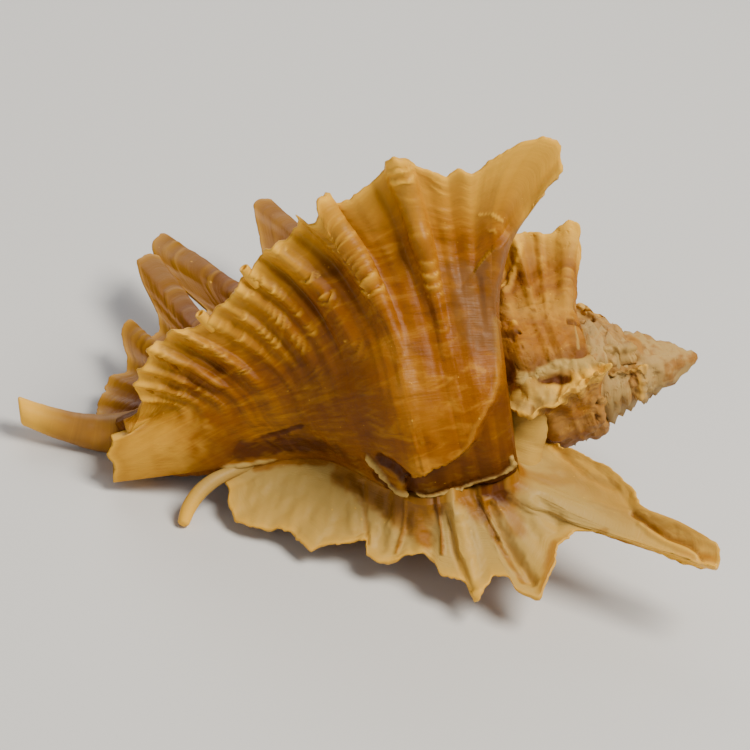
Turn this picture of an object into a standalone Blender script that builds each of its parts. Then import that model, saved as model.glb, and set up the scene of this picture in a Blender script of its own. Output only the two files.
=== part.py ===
"""Burnetts murex shell, one closed solid.

The shell is worked out in its own axis frame, in millimetres: `along` runs from the apex to the tip of the
siphonal canal, `reach` is the distance out from that axis and `turn` is the angle about it in degrees. Turn 0
faces the viewer of the photograph, 90 is up in it, and the whorls grow with rising turn.
Each sector of growth ends in a wing (a varix). A sector is a closed ring of rows: out over the whorl, up the
back of the wing, over the rim, down the front and back along the inside.
"""

import math

import bmesh
import bpy
import numpy as np
from mathutils import Matrix, Vector

MM = 0.001
WING_EDGE = 1.7  # thickness of a wing at its rim
SKIN_CELL = 0.62  # cell of the mesh that fuses the sectors
TRIANGLES = 8600
WHORL_GROWTH = 1.85  # how much larger the spire gets in one turn
# Turn of the front root of wing A and of each wing before it, back to the apex.
SPIRE_ROOTS = [-45.0, -150.0, -258.0, -358.0, -482.0, -606.0, -715.0, -828.0, -940.0]
TALL_SPIRE_WINGS = 3  # these keep their full height, the ones nearer the apex are worn
APERTURE_SHARE = 0.85  # height of the wing beside the aperture
APERTURE_SIDE = 0.21  # past this place the animal has dissolved that wing away
APERTURE_FADE = 0.12
CORE_SHARE = 0.35  # the inside rows lie at this share of the whorl's reach
WHORL_ROWS = 9  # rows of a sector over its whorl
WING_ROWS = 8  # rows up a wing's back, and again down its front
INSIDE_ROWS = 4

# Turn of each wing's front root, where its back lifts off the whorl, and of its rim.
WING_A = {"root": -45.0, "lift": -96.0, "rim": -57.0}
WING_B = {"root": 68.0, "lift": 12.0, "rim": 55.0}
WING_C = {"root": 170.0, "lift": 104.0, "rim": 138.0}
BACK_TURNING = 2.2  # how soon a wing's back turns upright, as an exponent
BACK_RISE = 1.5  # how late it rises
FRONT_TURNING = 3  # how late a wing's front turns down to its root
SWEEP = 1.1  # how late the rays of a wing bend along the shell
SHOULDER_SWEEP = {"A": 1.1, "B": 2.3, "C": 2.0}  # the same at the shoulder spine of each wing
SHOULDER_END = 0.16  # place where the shoulder's sweep has given way to the common one
SHOULDER_BLEND = 0.06  # over how many places it does so
LEAST_REACH = 6.0  # nearer the axis than this, a rim's edge is turned as if it were this far out

# Whorl outline at wings A, B and C: (place from suture 0 to canal 1, along, reach).
WHORL_A = [(0.0, 31.0, 12.0), (0.05, 30.5, 16.0), (0.10, 31.0, 18.8), (0.14, 32.5, 19.8), (0.30, 39.2, 20.5),
           (0.42, 46.2, 20.8), (0.50, 49.6, 17.8), (0.58, 53.3, 14.0), (0.68, 58.1, 9.6), (0.80, 62.9, 7.8),
           (0.90, 67.6, 7.4), (1.0, 73.0, 7.0)]
WHORL_B = [(0.0, 31.5, 12.5), (0.05, 30.5, 17.5), (0.10, 31.5, 21.0), (0.14, 34.0, 22.3), (0.30, 42.0, 23.6),
           (0.42, 50.0, 24.0), (0.50, 55.5, 21.0), (0.58, 61.0, 16.5), (0.68, 68.0, 11.5), (0.80, 76.0, 8.6),
           (0.90, 83.0, 6.6), (1.0, 90.0, 4.6)]
WHORL_C = [(0.0, 34.0, 13.0), (0.05, 32.5, 19.0), (0.10, 34.0, 23.5), (0.14, 37.0, 25.0), (0.30, 46.0, 26.6),
           (0.42, 55.0, 27.0), (0.50, 61.5, 23.0), (0.58, 67.5, 18.0), (0.68, 74.5, 12.6), (0.80, 82.0, 9.0),
           (0.90, 88.0, 6.8), (1.0, 93.5, 4.6)]

# Rim of each wing, from the suture to the canal: (place, along, reach).
RIM_A = [(0.0, 25.0, 12.0), (0.015, 20.3, 13.5), (0.03, 15.0, 18.4), (0.045, 11.2, 25.0), (0.06, 6.8, 28.4),
         (0.08, 1.5, 33.2), (0.095, 2.8, 36.4), (0.115, 8.3, 33.4), (0.14, 14.0, 30.4), (0.165, 19.5, 27.4),
         (0.18, 22.4, 27.0), (0.20, 26.8, 28.8), (0.21, 28.0, 32.0), (0.225, 29.2, 35.8), (0.24, 31.0, 37.8),
         (0.255, 32.8, 36.4), (0.27, 34.6, 33.6), (0.285, 36.4, 33.0), (0.30, 38.6, 35.2), (0.32, 40.2, 36.6),
         (0.335, 41.3, 34.6), (0.36, 43.2, 31.8), (0.385, 44.9, 28.2), (0.41, 47.3, 27.0), (0.43, 49.6, 27.6),
         (0.46, 52.8, 28.6), (0.485, 55.2, 26.8), (0.50, 55.6, 23.4), (0.54, 59.0, 22.6), (0.60, 63.5, 23.2),
         (0.66, 67.6, 19.3), (0.72, 70.6, 18.7), (0.78, 73.4, 18.2), (0.82, 74.8, 16.4), (0.88, 75.0, 12.8),
         (1.0, 75.4, 7.6)]
RIM_B = [(0.0, 29.6, 13.0), (0.02, 29.2, 19.6), (0.04, 29.0, 25.7), (0.05, 28.0, 28.0), (0.06, 23.0, 33.4),
         (0.075, 17.7, 38.7), (0.09, 18.3, 44.0), (0.10, 21.0, 45.0), (0.12, 26.9, 42.8), (0.14, 29.0, 40.0),
         (0.18, 33.4, 40.8), (0.20, 35.2, 39.6), (0.235, 39.2, 41.6), (0.25, 40.1, 44.2), (0.265, 41.9, 45.4),
         (0.28, 43.8, 44.2), (0.29, 44.8, 41.7), (0.32, 47.2, 40.3), (0.36, 51.0, 38.6), (0.385, 54.0, 40.2),
         (0.41, 57.6, 36.8), (0.44, 58.8, 34.0), (0.47, 60.7, 32.0), (0.51, 63.8, 32.0), (0.525, 64.6, 29.8),
         (0.56, 67.0, 26.6), (0.59, 69.2, 25.6), (0.64, 71.7, 23.2), (0.67, 73.9, 20.4), (0.71, 76.5, 19.8),
         (0.75, 79.0, 20.3), (0.78, 80.8, 17.4), (0.82, 83.4, 17.6), (0.84, 84.0, 14.2), (0.88, 86.3, 11.8),
         (0.92, 86.2, 7.6), (1.0, 89.0, 4.8)]
RIM_C = [(0.0, 34.5, 16.0), (0.03, 33.0, 24.0), (0.05, 31.5, 32.0), (0.065, 27.0, 38.0), (0.08, 23.0, 43.0),
         (0.095, 24.0, 47.0), (0.11, 28.0, 44.5), (0.14, 33.0, 41.0), (0.20, 38.5, 42.0), (0.235, 43.5, 45.0),
         (0.25, 46.5, 49.0), (0.27, 50.0, 46.5), (0.30, 53.0, 42.0), (0.335, 57.0, 41.0), (0.36, 61.5, 42.5),
         (0.375, 63.4, 55.0), (0.39, 66.6, 54.6), (0.405, 66.8, 41.5), (0.45, 68.8, 30.0), (0.50, 72.8, 31.0),
         (0.52, 76.8, 38.4), (0.54, 80.8, 52.6), (0.555, 83.6, 50.4), (0.57, 82.4, 42.0), (0.585, 75.0, 28.0),
         (0.60, 74.0, 22.5), (0.615, 76.4, 25.0), (0.63, 79.0, 33.5), (0.65, 83.0, 44.8), (0.665, 86.2, 45.2),
         (0.68, 84.8, 37.0), (0.70, 82.8, 28.5), (0.725, 83.0, 23.8), (0.75, 85.4, 26.4), (0.77, 87.8, 30.6),
         (0.79, 89.2, 26.2), (0.81, 88.8, 20.0), (0.85, 89.6, 15.6), (0.88, 91.8, 14.6), (0.91, 92.3, 11.6),
         (0.95, 93.6, 10.2), (1.0, 95.0, 6.0)]

# Rim of the worn wings in the spire, at the size of wing A.
RIM_SPIRE = [(0.0, 27.0, 14.0), (0.03, 26.5, 20.4), (0.05, 24.3, 23.4), (0.07, 22.3, 27.0), (0.10, 21.8, 32.0),
             (0.14, 24.6, 34.4), (0.17, 27.2, 33.0), (0.21, 30.5, 34.4), (0.25, 33.6, 33.2), (0.30, 37.2, 34.4),
             (0.35, 41.5, 31.8), (0.42, 46.2, 29.0), (0.50, 50.0, 20.0), (0.60, 54.4, 13.0), (0.80, 62.9, 7.9),
             (1.0, 73.0, 7.0)]

# Rim of the low, rubbed wings near the apex, at the size of wing A.
RIM_WORN = [(0.0, 27.0, 14.0), (0.03, 25.0, 16.0), (0.05, 23.0, 17.4), (0.07, 21.4, 18.6), (0.10, 22.0, 20.2),
            (0.14, 25.0, 23.0), (0.20, 30.0, 25.4), (0.30, 36.0, 27.0), (0.40, 44.0, 25.0), (0.50, 50.0, 18.4),
            (0.60, 54.4, 13.0), (0.80, 62.9, 7.9), (1.0, 73.0, 7.0)]

# Siphonal canals: (along, toward the viewer, up, radius) down the middle of each tube.
CANAL_A = [(62.0, 2.0, -2.0, 6.0), (70.0, 5.0, -3.8, 5.0), (76.6, 7.5, -5.4, 3.3), (80.2, 8.8, -7.2, 2.6),
           (82.8, 9.6, -9.8, 2.1), (83.8, 10.2, -12.9, 1.2)]
CANAL_B = [(66.0, 2.0, 1.2, 6.4), (76.0, 3.5, -0.6, 5.6), (85.0, 4.6, -1.8, 4.4), (93.0, 5.4, -2.8, 2.8)]
CANAL_C = [(50.0, -4.0, 0.0, 4.0), (64.0, -5.0, 0.4, 7.4), (76.0, -5.0, 1.8, 6.2), (86.0, -4.4, 2.6, 4.8),
           (94.0, -3.6, 3.5, 3.7), (101.0, -2.6, 5.4, 3.1), (106.0, -2.0, 7.3, 2.2)]
TUBE_SIDES = 14

# The tip of the apex and the core of the spire, in the same terms.
TIP = [(0.2, 0.0, 0.0, 0.7), (3.0, 0.0, 0.0, 2.3), (10.0, 0.0, 0.0, 5.6), (22.0, 0.0, 0.0, 9.0),
       (34.0, 0.0, 0.0, 9.0), (50.0, 0.0, 0.0, 8.0), (62.0, 0.0, 0.0, 5.0), (80.0, 0.0, 0.0, 4.0)]

# The aperture, a hollow that runs back into the last whorl: (turn, along, reach, half length, half width).
HOLLOW = [(196.0, 50.0, 17.0, 15.5, 9.6), (176.0, 49.5, 16.6, 14.6, 8.6), (158.0, 48.5, 16.0, 13.0, 7.4),
          (140.0, 47.5, 15.6, 10.5, 6.0), (124.0, 46.5, 15.4, 6.5, 4.0)]
HOLLOW_SIDES = 16

# The direction (along, toward the viewer, up) that points up when the shell lies still.
UP_AT_REST = (-0.2744, 0.5589, 0.7825)
WORN = 0.25  # depth of the flats where it touches what it lies on
FLOOR_LOW, FLOOR_HIGH = (-300, -300, -50), (300, 300, 0)  # the slab that cuts those flats

COLOUR = (0.49, 0.27, 0.08, 1.0)
ROUGHNESS = 0.5


def outline(stations, places):
    """Along and reach of an outline at these places, straight between its stations."""
    table = np.array(stations)
    return (np.interp(places, table[:, 0], table[:, 1]), np.interp(places, table[:, 0], table[:, 2]))


def scaled(stations, factor):
    """The same stations with along and reach multiplied by this factor."""
    return [(place, along * factor, reach * factor) for place, along, reach in stations]


def faded(whorl, rim):
    """The rim of the wing beside the aperture: low, and gone altogether soon after its shoulder."""
    left = []
    for place, along, reach in rim:
        a0, r0 = (float(v) for v in outline(whorl, place))
        keep = APERTURE_SHARE * max(0.0, 1.0 - max(0.0, place - APERTURE_SIDE) / APERTURE_FADE)
        left.append((place, a0 + (along - a0) * keep, r0 + (reach - r0) * keep))
    return left


def axis_point(along, turn, reach):
    """A point of the build frame: x toward the apex, y away from the viewer, z up in the photograph."""
    angle = np.radians(turn)
    return np.stack([-along + 0 * reach, -reach * np.cos(angle), reach * np.sin(angle) + 0 * along], axis=-1)


def sector_rows(start, wing, whorl_start, whorl_end, rim, shoulder_sweep):
    """Rows (row, place, xyz) of one sector, a ring that runs over the whorl, the wing and back inside."""
    places = np.array([station[0] for station in rim])
    rim_along, rim_reach = (np.array([s[1] for s in rim]), np.array([s[2] for s in rim]))
    along0, reach0 = outline(whorl_start, places)
    along1, reach1 = outline(whorl_end, places)
    sweep = SWEEP + (shoulder_sweep - SWEEP) * np.clip((SHOULDER_END - places) / SHOULDER_BLEND, 0.0, 1.0)

    def whorl_at(turn):
        share = np.clip((turn - start) / (wing["root"] - start), 0.0, 1.0)
        return along0 + (along1 - along0) * share, reach0 + (reach1 - reach0) * share

    rows = []
    for turn in np.linspace(start, wing["lift"], WHORL_ROWS):
        along, reach = whorl_at(turn)
        rows.append(axis_point(along, turn, reach))
    along, reach = whorl_at(wing["lift"])
    for step in np.linspace(0.0, 1.0, WING_ROWS)[1:]:
        turn = wing["lift"] + (wing["rim"] - wing["lift"]) * (1 - (1 - step) ** BACK_TURNING)
        out = step ** BACK_RISE
        rows.append(axis_point(along + (rim_along - along) * out ** sweep, turn, reach + (rim_reach - reach) * out))
    along, reach = whorl_at(wing["root"])
    edge = np.degrees(WING_EDGE / np.maximum(rim_reach, LEAST_REACH))
    for step in np.linspace(0.0, 1.0, WING_ROWS):
        out = 1 - step
        turn = wing["root"] + (wing["rim"] + edge - wing["root"]) * (1 - step ** FRONT_TURNING)
        rows.append(axis_point(along + (rim_along - along) * out ** sweep, turn, reach + (rim_reach - reach) * out))
    for turn in np.linspace(wing["root"], start, INSIDE_ROWS):
        along, reach = whorl_at(turn)
        rows.append(axis_point(along, turn, reach * CORE_SHARE))
    return np.stack(rows)


def ring_solid(rows):
    """A closed solid from a ring of rows: the last row joins the first, and both ends are capped."""
    count, across = rows.shape[:2]
    points = list(rows.reshape(-1, 3))
    faces = []
    for i in range(count):
        j = (i + 1) % count
        faces += [(i * across + k, j * across + k, j * across + k + 1, i * across + k + 1)
                  for k in range(across - 1)]
    for column, flip in ((0, 1), (across - 1, -1)):
        middle = len(points)
        points.append(rows[:, column].mean(axis=0))
        for i in range(count):
            pair = (i * across + column, ((i + 1) % count) * across + column)[::flip]
            faces.append((pair[1], pair[0], middle))
    return points, faces


def tube_solid(middle, sides=TUBE_SIDES):
    """A closed tube round a line of (along, toward the viewer, up, radius), its end drawn in to a blunt point."""
    line = np.array(middle)
    points, faces = [], []
    for along, near, up, radius in line:
        for k in range(sides):
            angle = 2 * math.pi * k / sides
            points.append((-along, -near + radius * math.cos(angle), up + radius * math.sin(angle)))
    for i in range(len(line) - 1):
        for k in range(sides):
            n = (k + 1) % sides
            faces.append((i * sides + k, i * sides + n, (i + 1) * sides + n, (i + 1) * sides + k))
    faces.append(tuple(range(sides))[::-1])
    faces.append(tuple((len(line) - 1) * sides + k for k in range(sides)))
    return points, faces


def hollow_solid(stations, sides=HOLLOW_SIDES):
    """The closed shape of the aperture's hollow, oval rings that follow the whorl inward."""
    points, faces = [], []
    for turn, along, reach, half_long, half_wide in stations:
        for k in range(sides):
            angle = 2 * math.pi * k / sides
            points.append(tuple(axis_point(np.array(along + half_long * math.cos(angle)), turn,
                                           np.array(reach + half_wide * math.sin(angle)))))
    for i in range(len(stations) - 1):
        for k in range(sides):
            n = (k + 1) % sides
            faces.append((i * sides + k, i * sides + n, (i + 1) * sides + n, (i + 1) * sides + k))
    faces.append(tuple(range(sides))[::-1])
    faces.append(tuple((len(stations) - 1) * sides + k for k in range(sides)))
    return points, faces


def box_solid(low, high):
    """The closed box between two corners."""
    points = [(x, y, z) for x in (low[0], high[0]) for y in (low[1], high[1]) for z in (low[2], high[2])]
    return points, [(0, 1, 3, 2), (4, 6, 7, 5), (0, 4, 5, 1), (2, 3, 7, 6), (0, 2, 6, 4), (1, 5, 7, 3)]


def shell_solids():
    """Every solid that the fused shell is made of."""
    solids = [ring_solid(sector_rows(WING_A["root"], WING_B, WHORL_A, WHORL_B, RIM_B, SHOULDER_SWEEP["B"])),
              ring_solid(sector_rows(WING_B["root"], WING_C, WHORL_B, WHORL_C, RIM_C, SHOULDER_SWEEP["C"]))]
    for number, (root, start) in enumerate(zip(SPIRE_ROOTS, SPIRE_ROOTS[1:])):
        factor, before = (WHORL_GROWTH ** ((turn - SPIRE_ROOTS[0]) / 360) for turn in (root, start))
        whorl = scaled(WHORL_A, factor)
        rim = scaled(RIM_A if number == 0 else RIM_SPIRE if number <= TALL_SPIRE_WINGS else RIM_WORN, factor)
        if number == 1:
            rim = faded(whorl, rim)
        turned = {key: value + root - WING_A["root"] for key, value in WING_A.items()}
        rows = sector_rows(start, turned, scaled(WHORL_A, before), whorl, rim, SHOULDER_SWEEP["A"])
        solids.append(ring_solid(rows))
    return solids + [tube_solid(line) for line in (TIP, CANAL_A, CANAL_B, CANAL_C)]


def mesh_object(name, solids):
    """One object that holds these solids, each turned outward."""
    body = bmesh.new()
    for points, faces in solids:
        part = bmesh.new()
        verts = [part.verts.new(Vector(p) * MM) for p in points]
        for face in faces:
            part.faces.new([verts[i] for i in face])
        bmesh.ops.triangulate(part, faces=part.faces[:])
        bmesh.ops.recalc_face_normals(part, faces=part.faces[:])
        if part.calc_volume(signed=True) < 0:
            bmesh.ops.reverse_faces(part, faces=part.faces[:])
        mesh = bpy.data.meshes.new("part")
        part.to_mesh(mesh)
        part.free()
        body.from_mesh(mesh)
        bpy.data.meshes.remove(mesh)
    mesh = bpy.data.meshes.new(name)
    body.to_mesh(mesh)
    body.free()
    made = bpy.data.objects.new(name, mesh)
    bpy.context.scene.collection.objects.link(made)
    return made


def settle(made, modifier_kinds):
    """Puts modifiers on an object one after the other and keeps the evaluated mesh."""
    for kind, values in modifier_kinds:
        modifier = made.modifiers.new(kind.title(), kind)
        for key, value in values.items():
            setattr(modifier, key, value)
    graph = bpy.context.evaluated_depsgraph_get()
    mesh = bpy.data.meshes.new_from_object(made.evaluated_get(graph))
    made.modifiers.clear()
    made.data = mesh


def keep_largest(mesh):
    """Removes every loose piece but the largest, so that no sealed pocket is left inside."""
    body = bmesh.new()
    body.from_mesh(mesh)
    left = set(body.verts)
    groups = []
    while left:
        seed = left.pop()
        group, front = [seed], [seed]
        while front:
            vert = front.pop()
            for edge in vert.link_edges:
                other = edge.other_vert(vert)
                if other in left:
                    left.remove(other)
                    group.append(other)
                    front.append(other)
        groups.append(group)
    groups.sort(key=len)
    for group in groups[:-1]:
        bmesh.ops.delete(body, geom=group, context="VERTS")
    body.to_mesh(mesh)
    body.free()


def rest_rotation():
    """Turns the build frame so that the chosen direction points up and the axis runs along x."""
    along, near, up = UP_AT_REST
    upward = Vector((-along, -near, up)).normalized()
    forward = Vector((1.0, 0.0, 0.0))
    forward = (forward - upward * forward.dot(upward)).normalized()
    side = upward.cross(forward)
    return Matrix((forward, side, upward))


def lay_down(made):
    """Rests the shell on z = 0, cuts the small worn flats there and centres it on its box."""
    mesh = made.data
    mesh.transform(rest_rotation().to_4x4())
    lowest = min(vertex.co.z for vertex in mesh.vertices)
    mesh.transform(Matrix.Translation((0, 0, -lowest - WORN * MM)))
    slab = mesh_object("slab", [box_solid(FLOOR_LOW, FLOOR_HIGH)])
    settle(made, [("BOOLEAN", {"operation": "DIFFERENCE", "solver": "EXACT", "object": slab}),
                  ("TRIANGULATE", {})])
    bpy.data.objects.remove(slab)
    mesh = made.data
    low = [min(vertex.co[k] for vertex in mesh.vertices) for k in range(2)]
    high = [max(vertex.co[k] for vertex in mesh.vertices) for k in range(2)]
    mesh.transform(Matrix.Translation((-(low[0] + high[0]) / 2, -(low[1] + high[1]) / 2, 0)))


def shell_material():
    """The plain finish of the solid."""
    material = bpy.data.materials.new("shell")
    material.use_nodes = True
    surface = material.node_tree.nodes["Principled BSDF"]
    surface.inputs["Base Color"].default_value = COLOUR
    surface.inputs["Roughness"].default_value = ROUGHNESS
    surface.inputs["Metallic"].default_value = 0.0
    return material


def main():
    for made in list(bpy.data.objects):
        bpy.data.objects.remove(made)
    shell = mesh_object("shell", shell_solids())
    settle(shell, [("REMESH", {"mode": "VOXEL", "voxel_size": SKIN_CELL * MM}), ("TRIANGULATE", {})])
    keep_largest(shell.data)
    settle(shell, [("DECIMATE", {"ratio": TRIANGLES / len(shell.data.polygons)})])
    hollow = mesh_object("hollow", [hollow_solid(HOLLOW)])
    settle(shell, [("BOOLEAN", {"operation": "DIFFERENCE", "solver": "EXACT", "object": hollow}),
                   ("TRIANGULATE", {})])
    bpy.data.objects.remove(hollow)
    lay_down(shell)
    shell.data.materials.clear()
    shell.data.materials.append(shell_material())


main()
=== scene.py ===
"""Burnetts murex shell: its sculptured surfaces, finishes, studio floor, lights and camera.

Shapes are worked out in the shell's axis frame, in millimetres: `along` runs from the apex to the tip of
the siphonal canal, `reach` is the distance out from that axis and `turn` is the angle about it in degrees.
Turn 0 faces the viewer of the photograph and 90 is up in it. Each stretch of growth (a sector) is a ring of
rows: out over the whorl, up the back of its wing, over the rim, down the front and back along the inside.
The columns of the ring run from the suture (place 0) to the canal (place 1).
"""

import bpy
import numpy as np
from mathutils import Matrix, Vector


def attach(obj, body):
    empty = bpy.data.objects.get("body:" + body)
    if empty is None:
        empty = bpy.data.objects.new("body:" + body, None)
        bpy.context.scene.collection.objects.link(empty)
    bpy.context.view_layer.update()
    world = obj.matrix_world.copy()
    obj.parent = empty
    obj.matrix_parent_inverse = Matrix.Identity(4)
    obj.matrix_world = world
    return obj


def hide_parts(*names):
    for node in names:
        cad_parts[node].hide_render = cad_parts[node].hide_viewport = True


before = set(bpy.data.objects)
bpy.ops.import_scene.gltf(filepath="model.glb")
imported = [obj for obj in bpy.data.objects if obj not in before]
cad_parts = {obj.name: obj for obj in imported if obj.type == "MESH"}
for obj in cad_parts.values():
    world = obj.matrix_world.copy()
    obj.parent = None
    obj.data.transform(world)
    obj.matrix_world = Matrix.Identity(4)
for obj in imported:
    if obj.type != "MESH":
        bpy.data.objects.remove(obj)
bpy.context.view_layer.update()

bl_info = {
    "name": "Burnetts murex shell",
    "version": (1, 0, 0),
    "blender": (4, 5, 0),
    "location": "3D View > Sidebar > Shell",
    "description": "Builds the shell's wings, whorls, spire, canals and aperture, and a studio floor",
    "category": "Object",
}

MM = 0.001

# Kinds of the rows in a sector's ring: the whorl with the wing's back, the rim, the front and the inside.
OUTER, EDGE, FRONT, INSIDE = range(4)

# How the shell lies: (along, toward the viewer, up) that points up, and where the build origin goes.
UP_AT_REST = (-0.2744, 0.5589, 0.7825)
REST_PLACE = (50.998, -9.602, 28.358)

# Growth of the spire in one turn, the turns at its roots, and each wing's front root, back lift and rim.
# The wing beside the aperture (index 1) is low: its share, and the places from and over which it fades.
WHORL_GROWTH = 1.85
SPIRE_ROOTS = [-45.0, -150.0, -258.0, -358.0, -482.0, -606.0, -715.0, -828.0, -940.0]
APERTURE_SHARE = 0.85
APERTURE_SIDE = 0.21
APERTURE_FADE = 0.12
# How far out the inside rows lie, as a share of the whorl's reach.
CORE_SHARE = 0.35
WING_A = {"root": -45.0, "lift": -96.0, "rim": -57.0}
WING_B = {"root": 68.0, "lift": 12.0, "rim": 55.0}
WING_C = {"root": 170.0, "lift": 104.0, "rim": 138.0, "turning": 4.0}

# How a wing leaves the whorl: exponents of its turning, its rise, its front, and its bend along the shell.
BACK_TURNING = 2.2
BACK_RISE = 1.5
FRONT_TURNING = 3.0
SWEEP = 1.1
SHOULDER_SWEEP = {"A": 1.1, "B": 2.3, "C": 2.0}
SHOULDER_END = 0.16
SHOULDER_BLEND = 0.06

# Whorl outline at wings A, B and C: (place, along, reach).
WHORL_A = [
    (0.0, 31.0, 12.0), (0.05, 30.5, 16.0), (0.10, 31.0, 18.8), (0.14, 32.5, 19.8), (0.30, 39.2, 20.5),
    (0.42, 46.2, 20.8), (0.50, 49.6, 17.8), (0.58, 53.3, 14.0), (0.68, 58.1, 9.6), (0.80, 62.9, 7.8),
    (0.90, 67.6, 7.4), (1.0, 73.0, 7.0),
]
WHORL_B = [
    (0.0, 31.5, 12.5), (0.05, 30.5, 17.5), (0.10, 31.5, 21.0), (0.14, 34.0, 22.3), (0.30, 42.0, 23.6),
    (0.42, 50.0, 24.0), (0.50, 55.5, 21.0), (0.58, 61.0, 16.5), (0.68, 68.0, 11.5), (0.80, 76.0, 8.6),
    (0.90, 83.0, 6.6), (1.0, 90.0, 4.6),
]
WHORL_C = [
    (0.0, 34.0, 13.0), (0.05, 32.5, 19.0), (0.10, 34.0, 23.5), (0.14, 37.0, 25.0), (0.30, 46.0, 26.6),
    (0.42, 55.0, 27.0), (0.50, 61.5, 23.0), (0.58, 67.5, 18.0), (0.68, 74.5, 12.6), (0.80, 82.0, 9.0),
    (0.90, 88.0, 6.8), (1.0, 93.5, 4.6),
]

# Rim of each wing, from the suture to the canal: (place, along, reach).
RIM_A = [
    (0.0, 26.4, 7.8), (0.015, 23.8, 11.2), (0.03, 20.7, 13.5), (0.042, 16.9, 16.6), (0.052, 13.8, 20.9),
    (0.058, 13.2, 23.7), (0.062, 12.5, 24.7), (0.074, 7.7, 28.0), (0.088, 2.6, 32.3), (0.09, 2.5, 33.4),
    (0.10, 3.6, 36.0), (0.115, 8.6, 33.2), (0.14, 14.2, 30.5), (0.165, 19.8, 26.9), (0.18, 23.4, 26.4),
    (0.199, 26.4, 28.4), (0.21, 27.2, 30.8), (0.222, 28.3, 33.2), (0.243, 30.4, 36.9), (0.25, 31.4, 36.6),
    (0.262, 33.8, 35.1), (0.275, 34.6, 32.5), (0.29, 37.0, 32.3), (0.305, 38.3, 34.2), (0.317, 39.5, 35.7),
    (0.322, 40.2, 35.6), (0.34, 41.0, 32.3), (0.37, 44.6, 30.7), (0.385, 45.4, 27.7), (0.402, 46.5, 26.7),
    (0.43, 49.0, 26.4), (0.454, 51.1, 27.0), (0.48, 53.4, 26.9), (0.50, 55.3, 25.4), (0.505, 54.8, 22.4),
    (0.529, 56.7, 22.7), (0.56, 59.0, 23.0), (0.599, 62.0, 22.5), (0.62, 63.5, 23.3), (0.635, 64.4, 21.9),
    (0.67, 66.3, 19.1), (0.70, 67.7, 18.3), (0.74, 70.5, 17.9), (0.774, 73.0, 17.1), (0.80, 74.6, 15.7),
    (0.82, 74.6, 14.3), (0.848, 75.1, 12.0), (0.87, 74.8, 10.3), (1.0, 75.3, 7.0),
]
RIM_B = [
    (0.0, 30.5, 12.4), (0.008, 30.3, 15.6), (0.014, 30.1, 19.3), (0.02, 30.0, 22.1), (0.027, 30.2, 24.5),
    (0.033, 29.9, 26.8), (0.038, 28.9, 28.7), (0.042, 27.6, 30.0), (0.055, 23.9, 33.9), (0.065, 20.8, 37.0),
    (0.075, 17.8, 39.7), (0.079, 18.2, 41.2), (0.085, 17.9, 43.3), (0.088, 18.3, 44.4), (0.094, 20.4, 45.2),
    (0.097, 21.7, 44.7), (0.10, 23.4, 44.8), (0.116, 26.5, 43.1), (0.13, 29.0, 41.9), (0.135, 29.5, 41.2),
    (0.15, 31.5, 40.2), (0.169, 33.2, 41.5), (0.18, 34.5, 41.1), (0.19, 35.3, 40.2), (0.21, 37.2, 41.7),
    (0.235, 39.6, 42.9), (0.247, 40.4, 44.4), (0.255, 41.0, 45.3), (0.268, 42.7, 46.0), (0.276, 44.1, 45.3),
    (0.284, 44.3, 43.9), (0.29, 44.7, 42.6), (0.30, 45.5, 41.9), (0.325, 47.8, 40.4), (0.345, 49.9, 39.0),
    (0.355, 51.5, 38.9), (0.365, 53.0, 38.6), (0.37, 53.4, 39.7), (0.376, 54.0, 41.0), (0.383, 55.1, 41.1),
    (0.389, 55.0, 38.5), (0.393, 55.6, 37.0), (0.397, 56.7, 36.5), (0.403, 58.3, 37.9), (0.412, 58.0, 36.4),
    (0.42, 58.3, 35.4), (0.435, 59.4, 34.0), (0.455, 60.8, 33.1), (0.47, 62.0, 33.7), (0.488, 62.9, 33.0),
    (0.51, 64.1, 32.5), (0.525, 64.2, 31.2), (0.55, 66.2, 29.3), (0.574, 67.9, 28.0), (0.595, 69.1, 26.7),
    (0.62, 70.2, 24.4), (0.635, 71.8, 24.2), (0.655, 73.1, 22.5), (0.67, 74.7, 20.9), (0.695, 76.4, 20.0),
    (0.715, 77.8, 20.4), (0.745, 79.3, 20.9), (0.765, 80.2, 20.1), (0.782, 81.0, 18.1), (0.80, 82.4, 18.6),
    (0.82, 84.1, 17.6), (0.835, 83.7, 16.0), (0.85, 84.8, 14.7), (0.86, 85.9, 14.3), (0.875, 85.9, 12.3),
    (0.885, 87.0, 11.7), (0.90, 86.5, 9.9), (0.915, 86.0, 8.4), (0.935, 86.7, 6.9), (0.96, 87.1, 5.6),
    (1.0, 88.0, 4.0),
]
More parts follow.
